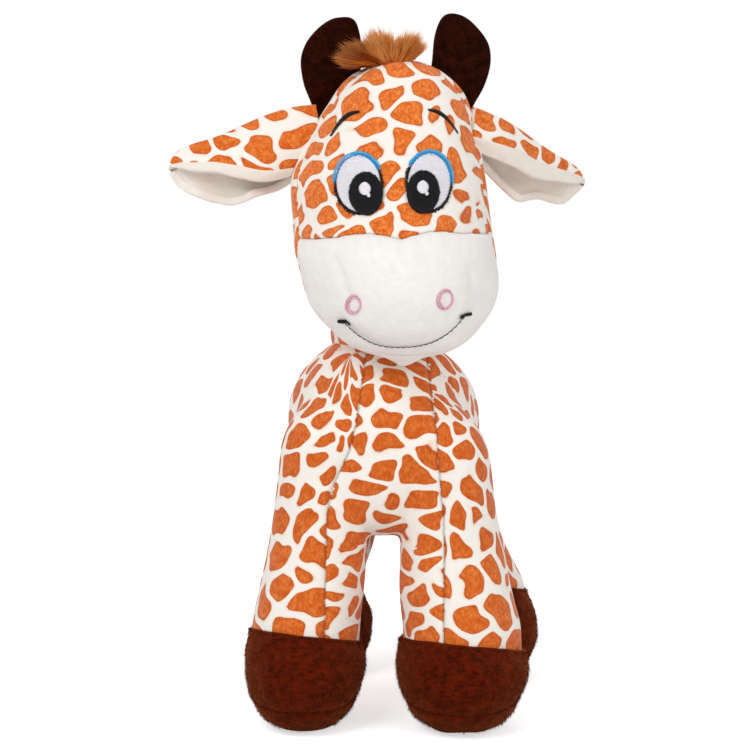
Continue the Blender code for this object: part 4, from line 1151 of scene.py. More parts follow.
class GIRAFFE_OT_feet(GiraffePieceOperator, bpy.types.Operator):
    """Makes the four plush feet, each a cover rolled in at the ankle and a sole sewn under it"""

    bl_idname = "giraffe.feet"
    bl_label = "Feet"

    def execute(self, context):
        foot = context.scene.giraffe_foot
        columns = 96
        count = 11000
        turns = ring_turns(columns)
        for seed, (name, hip) in enumerate(HIPS.items()):
            side = 1 if "left" in name else -1
            rise = ankle_rise(name, turns, side)[None, :, None]
            for kind in ("sole", "foot_cover"):
                grid, facing, gap = foot_grid(foot, foot_form(name), kind, turns, rise)
                faces = grid_faces(len(grid), columns, closed=True)
                grid, facing = grid.reshape(-1, 3), facing.reshape(-1, 3)
                flat = dented(grid, facing, "foot", 20 + seed)
                if kind == "sole":
                    # It stands flat on the floor
                    flat[:, 2] = np.where(grid[:, 2] < 0.0004, grid[:, 2], flat[:, 2])
                flat = flat * (side, 1, 1) + hip * (1, 1, 0)
                facing = facing * (side, 1, 1)
                both, quads = thickened(flat, facing, faces if side > 0 else faces[:, ::-1],
                                        FOOT_PLUSH)
                if kind == "sole":
                    beside = flat[:, 2] > 0.003
                    fibres = [pile(flat[beside], facing[beside], 25 + seed, count // 3, reach=0.0013,
                                   nap=NAP_DOWN)]
                else:
                    outside = slice(-len(ANKLE_ROLL) * columns)
                    rim = slice(-(len(ANKLE_ROLL) + 2) * columns, -len(ANKLE_ROLL) * columns)
                    fibres = [pile(flat[outside], facing[outside], 30 + seed, count, reach=0.0014,
                                   nap=NAP_DOWN),
                              pile(flat[rim], facing[rim], 35 + seed, count // 12, reach=0.0015, nap=NAP_UP)]
                both, quads = joined([(both, quads), *fibres])
                seam = np.full(len(both), NO_SEAM)
                seam[:2 * len(flat)] = np.tile(gap.ravel(), 2) + 0.0004
                piece(f"{name}_{kind}_plush", both, quads, BROWN_PLUSH, name + "_leg", (f"{name}_{kind}",),
                      values={"cloth": both[:, [0, 2, 1]], "seam": seam})
        return {"FINISHED"}


class GIRAFFE_OT_neck(GiraffePieceOperator, bpy.types.Operator):
    """Makes the short neck between the collar and the head"""

    bl_idname = "giraffe.neck"
    bl_label = "Neck"

    def execute(self, context):
        radius = context.scene.giraffe_head.neck_radius
        columns, rows = 96, 40
        turns = ring_turns(columns)
        # A band of a ball about the neck's pivot, so that the head turns over it without a gap
        tilt = np.linspace(-0.62, 0.62, rows)[:, None] * math.pi / 2
        ring = radius * np.cos(tilt)
        grid = np.stack(np.broadcast_arrays(ring * np.sin(turns), -ring * np.cos(turns),
                                            radius * np.sin(tilt)), -1).reshape(-1, 3)
        facing = unit(grid)
        grid = dented(grid, facing, "neck", 9) + NECK
        both, quads = thickened(grid, facing, grid_faces(rows, columns, closed=True),
                                context.scene.giraffe_print.thickness)
        cloth = np.column_stack([np.tile(turns * radius, rows), grid[:, 2]])
        piece("neck_skin", both, quads, PRINTED, "neck", ("neck_cloth", "neck_stuffing"),
              values=print_values("neck", cloth, 9, np.full(len(grid), NO_SEAM)))
        return {"FINISHED"}


# Two creases in the muzzle's plush, each between two places across the face and over the chin's base
CREASES = (((-0.0295, 0.0500), (-0.0250, 0.0360)), ((0.0320, 0.0440), (0.0330, 0.0375)))


# Depth and width of the grooves along the mouth and the creases, height and width of the lip, and how far
# it lies over the mouth
MOUTH_GROOVE = (0.0017, 0.0020)
CREASE_GROOVE = (0.0011, 0.0022)
LIP_HEIGHT, LIP_WIDTH = 0.0010, 0.0050
LIP_RISE = 0.0065
# How far the muzzle's plush stands out from the face's cloth, and how far from its seam it takes to do so
MUZZLE_PILE, MUZZLE_PILE_REACH = 0.0016, 0.0028
# How far the dense stitching of an eye draws the cloth in
EYE_SINK = 0.0007
# How far the muzzle's top seam rises between its middle and its sides and sags at its sides, and the share
# of the way out to the side at which one turns into the other
SEAM_HUMP, SEAM_SAG, SEAM_TURN_SHARE = 0.0022, 0.0030, 0.62
# The small soft point in which the chin's panel ends: its place across, its width and its drop
CHIN_POINT_PLACE, CHIN_POINT_WIDTH, CHIN_POINT_DROP = 0.0045, 0.0072, 0.0048


def mouth_height(across):
    """Height of the mouth's line, which hangs under its corners and is flattest in its middle."""
    sizes = bpy.context.scene.giraffe_face
    share = np.minimum(np.abs(across - sizes.mouth_shift) / sizes.mouth_half_width, 1)
    return sizes.mouth_corner - sizes.mouth_dip * (1 - share ** 2.7)


def eye_place(sign):
    """The middle of an eye, and half its width and height."""
    sizes = bpy.context.scene.giraffe_face
    middle = np.array((sign * sizes.eye_spread - sizes.eye_shift, sizes.eye_height))
    return middle, np.array((sizes.eye_half_width, sizes.eye_half_height))


def run_distance(across, height, start, end):
    """How far places on the face are from a straight run between two others."""
    place = np.stack([across, height], -1) - start
    run = np.subtract(end, start)
    share = np.clip(place @ run / (run @ run), 0, 1)
    return np.linalg.norm(place - share[..., None] * run, axis=-1)


def face_lift(across, height, front):
    """How far the face's plush and cloth stand out from the head's form, and where they are drawn in."""
    sizes = bpy.context.scene.giraffe_face
    below_seam = np.maximum(muzzle_seam(across) - height, 0)
    muzzle = MUZZLE_PILE * (1 - np.exp(-below_seam / MUZZLE_PILE_REACH))
    over_mouth = height - mouth_height(across)
    groove = MOUTH_GROOVE[0] * bell(over_mouth, MOUTH_GROOVE[1])
    lip = LIP_HEIGHT * bell(over_mouth - LIP_RISE, LIP_WIDTH)
    within = ease(sizes.mouth_half_width + 0.004 - np.abs(across), 0, 0.006)
    total = muzzle + (lip - groove) * within
    for crease in CREASES:
        total = total - CREASE_GROOVE[0] * bell(run_distance(across, height, *crease), CREASE_GROOVE[1])
    for _, sign in SIDES:
        middle, half_size = eye_place(sign)
        eye = (np.stack([across, height], -1) - middle) / half_size
        total = total - EYE_SINK * ease(1.25 - np.linalg.norm(eye, axis=-1), 0, 0.35)
    return total * ease(front, 0.05, 0.45)


def muzzle_seam(across):
    """Height of the muzzle's top seam, which sags at the middle and at the sides."""
    sizes = bpy.context.scene.giraffe_head
    share = np.abs(across) / sizes.half_width
    hump = np.sin(math.pi * np.minimum(share / SEAM_TURN_SHARE, 1))
    return sizes.muzzle_top + SEAM_HUMP * hump - SEAM_SAG * ease(share, SEAM_TURN_SHARE, 1.0)


class Face:
    """The head's surface as a place to sew on."""

    def __init__(self):
        self.sizes = bpy.context.scene.giraffe_head
        self.form = head_form(self.sizes)
        self.base = NECK[2] - self.sizes.chin_drop
        self.place = head_place()

    def skin(self, u, t):
        """Points of the finished head, its outward directions, and its places across and up."""
        u, t = np.broadcast_arrays(np.asarray(u, float), np.asarray(t, float))
        bare = self.form.point(u, t)
        facing = self.form.normal(u, t)
        point = bell(bare[..., 0] - CHIN_POINT_PLACE, CHIN_POINT_WIDTH) * ease(np.cos(u), 0.1, 0.7)
        low = 1 - ease(bare[..., 2] - self.base, 0.0015, 0.0085)
        bare = bare - (point * low)[..., None] * (0, 0, CHIN_POINT_DROP)
        across = bare[..., 0] - self.sizes.shift
        height = bare[..., 2] - self.base
        lift = face_lift(across, height, np.cos(u))
        return bare + facing * lift[..., None], facing, across, height

    def at(self, across, height, offset=0.0):
        """Points over the face at places across and up, and the outward directions there, in the world."""
        t = self.form.t_at(height + self.base)
        u = self.form.turn_at(across + self.sizes.shift, t)
        points, facing = self.skin(u, t)[:2]
        points = points + facing * np.broadcast_to(offset, facing.shape[:-1])[..., None]
        return placed(points, self.place), turned(facing, self.place)


def arc_lengths(grid, axis):
    """How far along a grid's rows or columns each of its points is."""
    steps = np.linalg.norm(np.diff(grid, axis=axis), axis=-1)
    first = np.zeros_like(np.take(steps, [0], axis=axis))
    return np.concatenate([first, np.cumsum(steps, axis=axis)], axis=axis)


def front_seam_turn(face, t):
    """The turn from the front of the seam between the face and a side, further back round the jaw."""
    height = face.form.ring(t)[..., 0] - face.base
    return face.sizes.front_seam + face.sizes.jaw * (1 - ease(height, 0.018, 0.050))


def flattened(face, points):
    """Places on a panel's cloth, laid flat from a ball about the head's middle at the panel's own middle."""
    away = points - (face.sizes.shift, 0, face.base + 0.56 * face.sizes.height)
    size = np.linalg.norm(away, axis=1)
    ahead = unit((away / size[:, None]).mean(0))
    side = unit(np.array((-ahead[1], ahead[0], 0)))
    across, up = away @ side / size, away @ np.cross(ahead, side) / size
    ring = np.maximum(np.hypot(across, up), 1e-6)
    reach = size * np.arctan2(ring, away @ ahead / size) / ring
    return np.stack([across * reach, up * reach], -1)


def head_panel(face, name, turn_range, t_range, cloth, seed, stands_for, seams, wavy=None):
    """One panel of the head between two turns and two shares of its height, tucked in at its seams.

    Seams says which of its left, right, lower and upper edges are sewn, and wavy which of its lower and
    upper edges follows the muzzle's top seam.
    """
    fine = 0.0012
    first, last = turn_range
    low, high = t_range
    columns = int((last - first) * 0.055 / fine) + 2
    rows = int((high - low) * 0.19 / fine) + 2
    share = np.linspace(0, 1, rows)[:, None]

    def turns(t):
        """Turns across the panel, whose front edges run back round the jaw."""
        bend = front_seam_turn(face, t) - face.sizes.front_seam
        left, right = (edge + math.copysign(1, edge) * bend * (abs(edge) == face.sizes.front_seam)
                       for edge in turn_range)
        return left + (right - left) * np.linspace(0, 1, columns)

    t = np.linspace(low, high, rows)[:, None]
    u, t = np.broadcast_arrays(turns(t), t)
    if wavy:
        across = face.form.point(u, t)[..., 0] - face.sizes.shift
        seam = face.form.t_at(muzzle_seam(across) + face.base)
        t = seam + (high - seam) * share if wavy == "lower" else low + (seam - low) * share
        u = turns(t)
    grid, facing, _, _ = face.skin(u, t)
    across, along = arc_lengths(grid, 1), arc_lengths(grid, 0)
    edges = (across, across[:, -1:] - across, along, along[-1:] - along)
    far = np.full(across.shape, NO_SEAM)
    distance = np.min([edge if sewn else far for edge, sewn in zip(edges, seams)], axis=0).ravel()
    faces = grid_faces(rows, columns)
    grid, facing = grid.reshape(-1, 3), facing.reshape(-1, 3)
    flat = flattened(face, grid)
    grid = dented(grid, facing, "head", 40)
    grid = drawn_in(grid, facing, distance, 41)
    grid, facing = placed(grid, face.place), turned(facing, face.place)
    both, quads = thickened(grid, facing, faces, bpy.context.scene.giraffe_print.thickness)
    values = print_values("head", flat, seed, distance + 0.0003)
    piece(name, both, quads, cloth, "head", stands_for, values=values)


class GIRAFFE_OT_head(GiraffePieceOperator, bpy.types.Operator):
    """Sews the head: face, muzzle, chin, two sides and back"""

    bl_idname = "giraffe.head"
    bl_label = "Head"

    def execute(self, context):
        sizes = context.scene.giraffe_head
        face = Face()
        front, back = sizes.front_seam, sizes.back_seam
        low = float(face.form.t_at(face.base + sizes.chin_top))
        top = float(face.form.t_at(face.base + sizes.muzzle_top))
        head_panel(face, "face_cloth", (-front, front), (top, 1), PRINTED, 5,
                   ("face_panel", "head_stuffing"), (1, 1, 1, 0), "lower")
        head_panel(face, "muzzle_plush", (-front, front), (low, top), WHITE_PLUSH, 6, ("muzzle_cover",),
                   (1, 1, 0, 1), "upper")
        head_panel(face, "chin_plush", (-math.pi, math.pi), (0, low), WHITE_PLUSH, 7, ("chin_panel",),
                   (0, 0, 0, 0))
        for side, sign in SIDES:
            turns = (front, back) if sign > 0 else (-back, -front)
            head_panel(face, f"{side}_head_side", turns, (low, 1), PRINTED, 11 + sign,
                       (f"{side}_head_panel",), (1, 1, 1, 0))
        head_panel(face, "head_back", (back, 2 * math.pi - back), (low, 1), PRINTED, 14,
                   ("head_back_panel",), (1, 1, 1, 0))
        return {"FINISHED"}


# A stitch's points along it and round it
STITCH_STEPS = 5
STITCH_SIDES = 4
# Radii of the threads that fill a shape and that edge it, and the pitch of a fill's rows
FILL_RADIUS = 0.00026
EDGE_RADIUS = 0.00024
FILL_PITCH = 0.00042
FINE_PITCH = 0.00034


def stitches(face, starts, ends, radius, rise, offset):
    """Stitches over the face from starts to ends, each a thread that rises from its needle hole and dips."""
    share = np.linspace(0, 1, STITCH_STEPS)
    places = starts[:, None] * (1 - share)[:, None] + ends[:, None] * share[:, None]
    arch = np.sqrt(np.maximum(1 - (2 * share - 1) ** 2, 0))
    points, facing = face.at(places[..., 0], places[..., 1], offset + rise * arch[None])
    radii = np.full((len(starts), 1), radius) * (0.55 + 0.45 * arch)
    return tubes(points, radii, facing, STITCH_SIDES, 0.8)


def tilted(centre, x, z, tilt):
    """Places across and up from a centre, leaned over by a tilt."""
    return np.stack([centre[0] + x * math.cos(tilt) + z * math.sin(tilt),
                     centre[1] + z * math.cos(tilt) - x * math.sin(tilt)], -1)


def ellipse(centre, half_size, tilt, turns):
    """Places on the rim of an ellipse, at turns round it."""
    return tilted(centre, half_size[0] * np.cos(turns), half_size[1] * np.sin(turns), tilt)


def patch(face, centre, half_size, tilt, offset):
    """A low pad of thread under the stitches of a filled shape, as a closed lens."""
    columns = 48
    turns = ring_turns(columns)
    tops, bottoms = [], []
    for share, rise in ((0.02, offset), (0.35, offset), (0.70, offset), (0.93, offset), (1.00, 0.2 * offset)):
        across, height = ellipse(centre, np.multiply(half_size, share), tilt, turns).T
        tops.append(face.at(across, height, rise)[0])
        bottoms.append(face.at(across, height, -0.0004)[0])
    grid = np.concatenate([tops, bottoms[::-1]])
    return grid.reshape(-1, 3), grid_faces(len(grid), columns, closed=True)[:, ::-1]


def fill_rows(centre, half_size, tilt, pitch, stitch, seed):
    """Starts and ends of fill stitches in rows across an ellipse, laid as bricks."""
    draws = np.random.default_rng(seed)
    starts, ends = [], []
    for k, z in enumerate(np.arange(-half_size[1] + pitch / 2, half_size[1], pitch)):
        reach = half_size[0] * math.sqrt(max(0, 1 - (z / half_size[1]) ** 2))
        first = -reach - stitch * ((0.37 * k) % 1)
        breaks = np.arange(first, reach, stitch) + draws.normal(0, 0.08, 1) * stitch
        inside = breaks[(breaks > -reach + stitch / 4) & (breaks < reach - stitch / 4)]
        breaks = np.concatenate([[-reach], inside, [reach]])
        for a, b in zip(breaks, breaks[1:]):
            if b - a > stitch / 8:
                starts.append((a, z + draws.normal(0, 0.06) * pitch))
                ends.append((b, z + draws.normal(0, 0.06) * pitch))
    return [tilted(centre, *np.array(places).T, tilt) for places in (starts, ends)]


def rim_stitches(centre, half_size, tilt, turns, band, pitch, ragged, seed):
    """Starts and ends of satin stitches across a band round an ellipse, between two turns."""
    draws = np.random.default_rng(seed)
    radius = np.mean(half_size)
    start, stop = turns
    inner, outer = band
    count = int(abs(stop - start) * radius / pitch)
    turns = np.linspace(start, stop, count)
    fade = np.minimum(1, np.minimum(np.arange(count), np.arange(count)[::-1]) / 5)
    lean = 0.35 * pitch / radius
    near = ellipse(centre, half_size, tilt, turns - lean)
    far = ellipse(centre, half_size, tilt, turns + lean)
    out = unit(near - np.array(centre))
    low = inner * fade + draws.normal(0, ragged, count)
    high = outer * fade + draws.normal(0, ragged, count)
    return near + out * low[:, None], far + out * high[:, None]


def sewn(name, parts, thread_colour, stands_for, seed):
    """One piece of embroidery from parts, each stitches with their shades' span and base, or a bare pad."""
    draws = np.random.default_rng(seed)
    shade = []
    for shades, (made, _) in parts:
        if shades is None:
            shade.append(np.full(len(made), 0.4))
            continue
        span, base = shades
        around = STITCH_STEPS * STITCH_SIDES
        shade.append(np.repeat(draws.uniform(0.1, 1.0, len(made) // around), around) * span + base)
    points, faces = joined([part for _, part in parts])
    values = {"shade": np.clip(np.concatenate(shade), 0, 1), "along": points}
    cloth = (f"rayon_{thread_colour}", f"{thread_colour}_thread")
    piece(name, points, faces, cloth, "head", stands_for, values=values)


class GIRAFFE_OT_eyes(GiraffePieceOperator, bpy.types.Operator):
    """Embroiders both eyes: filled white, black outline, blue lid in two rows, pupil and glint"""

    bl_idname = "giraffe.eyes"
    bl_label = "Eyes"

    def execute(self, context):
        face = Face()
        sizes = context.scene.giraffe_face
        tilt = sizes.eye_tilt

        def filled(centre, half_size, seed, pitch, stitch, rise, offset):
            """Rows of fill over an ellipse."""
            places = fill_rows(centre, half_size, tilt, pitch, stitch, seed)
            return stitches(face, *places, FILL_RADIUS, rise, offset)

        def edged(centre, half_size, turns, band, seed, pitch, ragged, rise, offset):
            """Satin stitches along part of an ellipse's rim."""
            places = rim_stitches(centre, half_size, tilt, turns, band, pitch, ragged, seed)
            return stitches(face, *places, EDGE_RADIUS, rise, offset)

        for side, sign in SIDES:
            seed = 60 if sign > 0 else 70
            centre, half_size = eye_place(sign)
            white = half_size - 0.0014
            pad = patch(face, centre, white, tilt, 0.0007)
            fill = filled(centre, white, seed, FILL_PITCH, stitch=0.0034, rise=0.00022, offset=0.0006)
            sewn(f"{side}_eye_fill", [(None, pad), ((0.6, 0.4), fill)], "white", (f"{side}_eye_white",),
                 seed + 1)
            # The lid runs over the top of the eye and down its outer side, and the outline closes the rest
            lid = np.radians((-4, 150) if sign > 0 else (30, 184))
            rest = (lid[1] - 0.05, lid[0] + 2 * math.pi + 0.05)
            line = edged(centre, half_size - 0.0009, rest, (-0.0007, 0.0010), seed + 2, FINE_PITCH,
                         ragged=0.0003, rise=0.00042, offset=0.0003)
            sewn(f"{side}_eye_rim", [((0.5, 0.1), line)], "black", (f"{side}_eye_outline",), seed + 3)
            inner = edged(centre, half_size, lid, (-0.0019, -0.0005), seed + 4, pitch=0.0003,
                          ragged=0.00012, rise=0.0005, offset=0.0003)
            outer = edged(centre, half_size, lid, (-0.0006, 0.0007), seed + 5, pitch=0.0003,
                          ragged=0.00014, rise=0.0004, offset=0.0003)
            sewn(f"{side}_eye_lid", [((0.3, 0.0), inner), ((0.3, 0.7), outer)], "blue",
                 (f"{side}_eyelid",), seed + 6)
            pupil = centre - (sign * sizes.pupil_inset, sizes.pupil_drop)
            half = np.array((sizes.pupil_half_width, sizes.pupil_half_height))
            pad = patch(face, pupil, half, tilt, 0.0012)
            fill = filled(pupil, half, seed + 7, FILL_PITCH, stitch=0.0040, rise=0.0003, offset=0.0011)
            ring = edged(pupil, half, (0, 2 * math.pi), (-0.0012, 0.0001), seed + 8, pitch=0.0004,
                         ragged=0.00015, rise=0.0003, offset=0.0011)
            sewn(f"{side}_eye_pupil", [(None, pad), ((0.5, 0.1), fill), ((0.5, 0.1), ring)], "black",
                 (f"{side}_pupil",), seed + 9)
            # The glint is round, with a spur down to one side
            glint = pupil + (-0.0003, 0.0018)
            spur = glint + (0.0017, -0.0030)
            pad = patch(face, glint, (0.0027, 0.0028), tilt, 0.0018)
            rows = [fill_rows(glint, (0.0028, 0.0029), tilt, FINE_PITCH, 0.0060, seed + 10),
                    fill_rows(spur, (0.0009, 0.0009), tilt, FINE_PITCH, 0.0030, seed + 11)]
            starts, ends = (np.concatenate(places) for places in zip(*rows))
            fill = stitches(face, starts, ends, FILL_RADIUS, rise=0.00042, offset=0.0016)
            sewn(f"{side}_glint", [(None, pad), ((0.3, 0.7), fill)], "white", (f"{side}_eye_glint",),
                 seed + 12)
        return {"FINISHED"}


def running(places, pitch, lean=0.0):
    """Starts and ends of stitches laid one after another along a line of places."""
    steps = np.linalg.norm(np.diff(places, axis=0), axis=1)
    along = np.concatenate([[0], np.cumsum(steps)])
    marks = np.linspace(0, along[-1], max(2, int(along[-1] / pitch) + 1))
    points = np.stack([np.interp(marks, along, places[:, k]) for k in (0, 1)], -1)
    return points[:-1], points[1:] + (0, lean)


# A brow's ends, and each nostril's middle and half size, across the face and over the chin's base
BROW_ENDS = np.array(((0.0168, 0.1186), (0.0307, 0.1072)))
NOSTRILS = {"left": ((0.0187, 0.0326), (0.0034, 0.0042)), "right": ((-0.0219, 0.0308), (0.0029, 0.0040))}


class GIRAFFE_OT_lines(GiraffePieceOperator, bpy.types.Operator):
    """Embroiders the brows, the nostril rings and the mouth"""

    bl_idname = "giraffe.lines"
    bl_label = "Brows, nostrils and mouth"

    def execute(self, context):
        face = Face()
        sizes = context.scene.giraffe_face
        draws = np.random.default_rng(90)
        share = np.linspace(0, 1, 40)
        for side, sign in SIDES:
            start, end = BROW_ENDS
            brow = start + (end - start) * share[:, None]
            brow = (brow + np.outer(sizes.brow_bulge * np.sin(math.pi * share), (0, 1))) * (sign, 1)
            way = unit(np.gradient(brow, axis=0))
            wide = sizes.brow_half_thickness * np.sin(math.pi * np.clip(share, 0.06, 0.94)) ** 0.4
            half = np.stack([-way[:, 1], way[:, 0]], -1) * wide[:, None] - way * 0.0003
            line = stitches(face, brow - half, brow + half, radius=0.0003, rise=0.0004, offset=0.0002)
            sewn(f"{side}_brow_line", [((0.5, 0.1), line)], "black", (f"{side}_brow",), 91)
            # A nostril is three loose rings of long stitches
            rings = []
            centre, half_size = NOSTRILS[side]
            for loop in range(3):
                turns = np.linspace(0, 2 * math.pi, 60) + loop
                middle = np.add(centre, draws.normal(0, 0.00035, 2))
                ring = ellipse(middle, np.multiply(half_size, 0.9 + 0.1 * loop), 0.1 * loop, turns)
                line = stitches(face, *running(ring, 0.0021), radius=0.00036, rise=0.00045, offset=0.0003)
                rings.append(((0.9, 0.1), line))
            sewn(f"{side}_nostril_ring", rings, "pink", (f"{side}_nostril",), 92)
        share = np.linspace(-1, 1, 120)
        across = sizes.mouth_shift + sizes.mouth_half_width * share
        places = np.stack([across, mouth_height(across) + 0.0012 * share], -1)
        smile = stitches(face, *running(places, 0.0026, 0.0001), radius=0.00029, rise=0.00036, offset=0.0003)
        line = [((0.4, 0.1), smile)]
        # A short thick tick closes the mouth at each corner
        run = np.linspace(-0.2, 1, 16)
        thick = np.array((0, 0.0007))
        for corner, sign in ((places[-1], 1), (places[0], -1)):
            tick = corner + 0.0048 * np.stack([sign * (run - 0.5), 0.06 * run], -1)
            made = stitches(face, tick - thick, tick + 1.4 * thick, radius=0.00034, rise=0.00045,
                            offset=0.0004)
            line.append(((0.4, 0.1), made))
        sewn("mouth_line", line, "black", ("mouth",), 93)
        return {"FINISHED"}


class GiraffeEarSizes(bpy.types.PropertyGroup):
    """Sizes of the ears."""

    length: length("Length", 0.0785, "From the root inside the head to the tip")
    half_height: length("Half height", 0.0195, "Half the height where it is tallest")
    half_depth: length("Half depth", 0.011, "Half the depth of the fold")
    lining: length("Lining", 0.0022, "Thickness of the plush lining at its edges")
    filling: length("Filling", 0.0065, "How much thicker the lining is in the hollow")
    right_lip: length("Right lip", 0.0048, "Width of lining that rolls over onto the right ear's outside")
    left_lip: length("Left lip", 0.0105, "Width of lining that rolls over onto the left ear's outside")
    hinge_reach: length("Hinge reach", 0.0195, "From the root out to the line it flaps about")
    give: length("Give", 0.008, "How far to each side of that line the cloth bends")
    right_droop: angle("Right droop", 11, "How far the right ear hangs")
    left_droop: angle("Left droop", 24, "How far the left ear hangs")
    left_sweep: angle("Left sweep", 28, "How far the left ear is swept back")
    roll: angle("Roll", 10, "How far the ears' openings turn up")


def ear_profile(form, turns, t, offset, fold):
    """Points of an ear at turns round it and shares along it, moved out by offset."""
    points = form.point(turns, t)
    facing = form.normal(turns, t)
    size = form.ring(np.broadcast_to(t, facing.shape[:2]))[..., 2:3]
    # A ridge runs out along the top, and the cloth falls straight from it to the lip
    ridge = bell(turns - math.radians(78), 0.30) - bell(turns - math.radians(38), 0.38)
    points = points + facing * 0.10 * size * ridge[..., None]
    # Soft waves in the lower edge and folds in the hollow
    low = size * ease(turns, math.radians(190), math.radians(262))[..., None]
    wave = (np.sin(2 * math.pi * (t * 2.6 + fold)) * np.sin(math.pi * t))[..., None]
    points = points - np.array((0.10, 0, 0)) * low * wave
    points = points - np.array((0, 0.16, 0)) * low * np.sin(2 * math.pi * (t * 3.1))[..., None]
    return points + facing * np.broadcast_to(offset, facing.shape[:2])[..., None], facing


def ear_form(side):
    """An ear along Z, its top to +X and its opening to -Y."""
    sizes = bpy.context.scene.giraffe_ear
    over, under = np.multiply(EAR_TRIM_SHARES[side], sizes.half_height)
    return Form([(sizes.length * reach, (over * top - under * low) / 2, (over * top + under * low) / 2,
                  sizes.half_depth * depth, sizes.half_depth * depth)
                 for reach, top, low, depth in EAR_SHARES])


def ear_place(side, sign):
    """How an ear's form sits on the head, and two places either side of the line it flaps about."""
    sizes = bpy.context.scene.giraffe_ear
    droop = sizes.left_droop if sign > 0 else sizes.right_droop
    sweep = sizes.left_sweep if sign > 0 else 0.0
    level = math.cos(droop)
    out = Vector((sign * level * math.cos(sweep), level * math.sin(sweep), -math.sin(droop)))
    back = Vector((0, 1, 0))
    back = (back - out * back.dot(out)).normalized()
    up = out.cross(back) * sign
    turn = head_place().to_3x3().to_4x4()
    own = turn @ Matrix((up, back, out)).transposed().to_4x4()
    hinge = Vector(JOINTS[side + "_ear_flap"]["pos_m"])
    way = (turn @ out.to_4d()).to_3d()
    place = Matrix.Translation(hinge - way * sizes.hinge_reach) @ own @ Matrix.Rotation(sizes.roll, 4, "Z")
    return place, (tuple(hinge - way * sizes.give), tuple(hinge + way * sizes.give))


def lining_section(form, t, start, stop, lip, back_lip):
    """Turns and offsets round the lining of an ear: a lip, the hollow, the back lip and its underside."""
    sizes = bpy.context.scene.giraffe_ear
    # It lies this far over the print where it rolls out, and this far inside it where it runs back under
    over, under = 0.00075, 0.0009
    radius = (over + bpy.context.scene.giraffe_print.thickness + sizes.lining) / 2
    middle = over - radius
    curl = radius / sizes.half_height
    bend = np.linspace(0, math.pi, 9)
    run = np.linspace(0, 1, 90)[1:-1]
    depth = form.ring(t)[..., 0, 3:4] / sizes.half_depth
    first, last = start + lip, stop - back_lip
    parts = (
        (first - lip * np.linspace(0, 1, 16)[:-1], over),
        (start - curl * np.sin(bend), middle + radius * np.cos(bend)),
        (start + (stop - start) * run, middle - radius - sizes.filling * np.sin(math.pi * run) ** 2 * depth),
        (stop + curl * np.sin(bend), middle - radius * np.cos(bend)),
        (stop - back_lip * np.linspace(0, 1, 8)[1:], over),
        (last + (first - last) * np.linspace(0, 1, 30)[1:-1], -under),
    )
    turns = [part + 0 * t for part, _ in parts]
    offsets = [np.broadcast_to(offset, part.shape) for part, (_, offset) in zip(turns, parts)]
    return np.concatenate(turns, 1), np.concatenate(offsets, 1)


class GIRAFFE_OT_ears(GiraffePieceOperator, bpy.types.Operator):
    """Makes both ears: printed cloth over the ridge, and a plush lining that rolls out over the lip"""

    bl_idname = "giraffe.ears"
    bl_label = "Ears"

    def execute(self, context):
        sizes = context.scene.giraffe_ear
        rows = 90
        t = np.linspace(0, 1, rows)[:, None]
        stop = math.radians(268)
        back_lip = sizes.right_lip / sizes.half_height
        for side, sign in SIDES:
            form = ear_form(side)
            place, split = ear_place(side, sign)
            bodies = ("head", side + "_ear")
            seed = 20 + sign
            lip = (sizes.left_lip if sign > 0 else sizes.right_lip) / sizes.half_height
            shares, edges = zip(*PRINT_EDGE_SHARES[side])
            start = np.radians(np.interp(t, shares, edges)) - lip
            first, last = start + 0.6 * lip, stop - 0.6 * back_lip
            turns = first + (last - first) * np.linspace(0, 1, 110)
            grid, facing = ear_profile(form, turns, t, 0.0, 0.2 * sign)
            across = arc_lengths(grid, 1)
            cloth = np.stack([t * sizes.length + 0 * across, across], -1).reshape(-1, 2)
            faces = grid_faces(*across.shape)
            grid, facing = placed(grid.reshape(-1, 3), place), turned(facing.reshape(-1, 3), place)
            both, quads = thickened(grid, facing, faces[:, ::-1] if sign > 0 else faces,
                                    context.scene.giraffe_print.thickness)
            values = print_values(side + "_ear", cloth, seed, np.full(len(grid), NO_SEAM))
            piece(side + "_ear_print", both, quads, PRINTED, bodies, (side + "_ear_back",),
                  values=values)
            turns, offset = lining_section(form, t, start, stop, lip, back_lip)
            columns = turns.shape[1]
            grid, _ = ear_profile(form, turns, t, offset, 0.2 * sign)
            grid = placed(grid.reshape(-1, 3), place)
            cloth = np.stack([t * sizes.length + 0 * turns, turns * sizes.half_height], -1).reshape(-1, 2)
            faces = [*grid_faces(rows, columns, closed=True).tolist(), *end_faces(rows, columns)]
            if sign > 0:
                faces = [face[::-1] for face in faces]
            values = {"cloth": fine_places(cloth, seed), "seam": np.full(len(grid), NO_SEAM)}
            piece(side + "_ear_plush", grid, faces, LINING_PLUSH, bodies, (side + "_ear_lining",),
                  values=values)
        return {"FINISHED"}


class GiraffeHornSizes(bpy.types.PropertyGroup):
    """Sizes of the horns."""

    length: length("Length", 0.0524, "From the root inside the head to the top")
    root: length("Root", 0.010, "How much of it is inside the head")
    half_width: length("Half width", 0.0151, "Half the width where it is widest")
    half_thickness: length("Half thickness", 0.0044, "Half its thickness in the middle")
    right_lean: angle("Right lean", 2, "How far the right horn leans outwards")
    left_lean: angle("Left lean", 12.5, "How far the left horn leans outwards")
    right_inset: length("Right inset", 0.0040, "How far in the right horn stands from its joint")


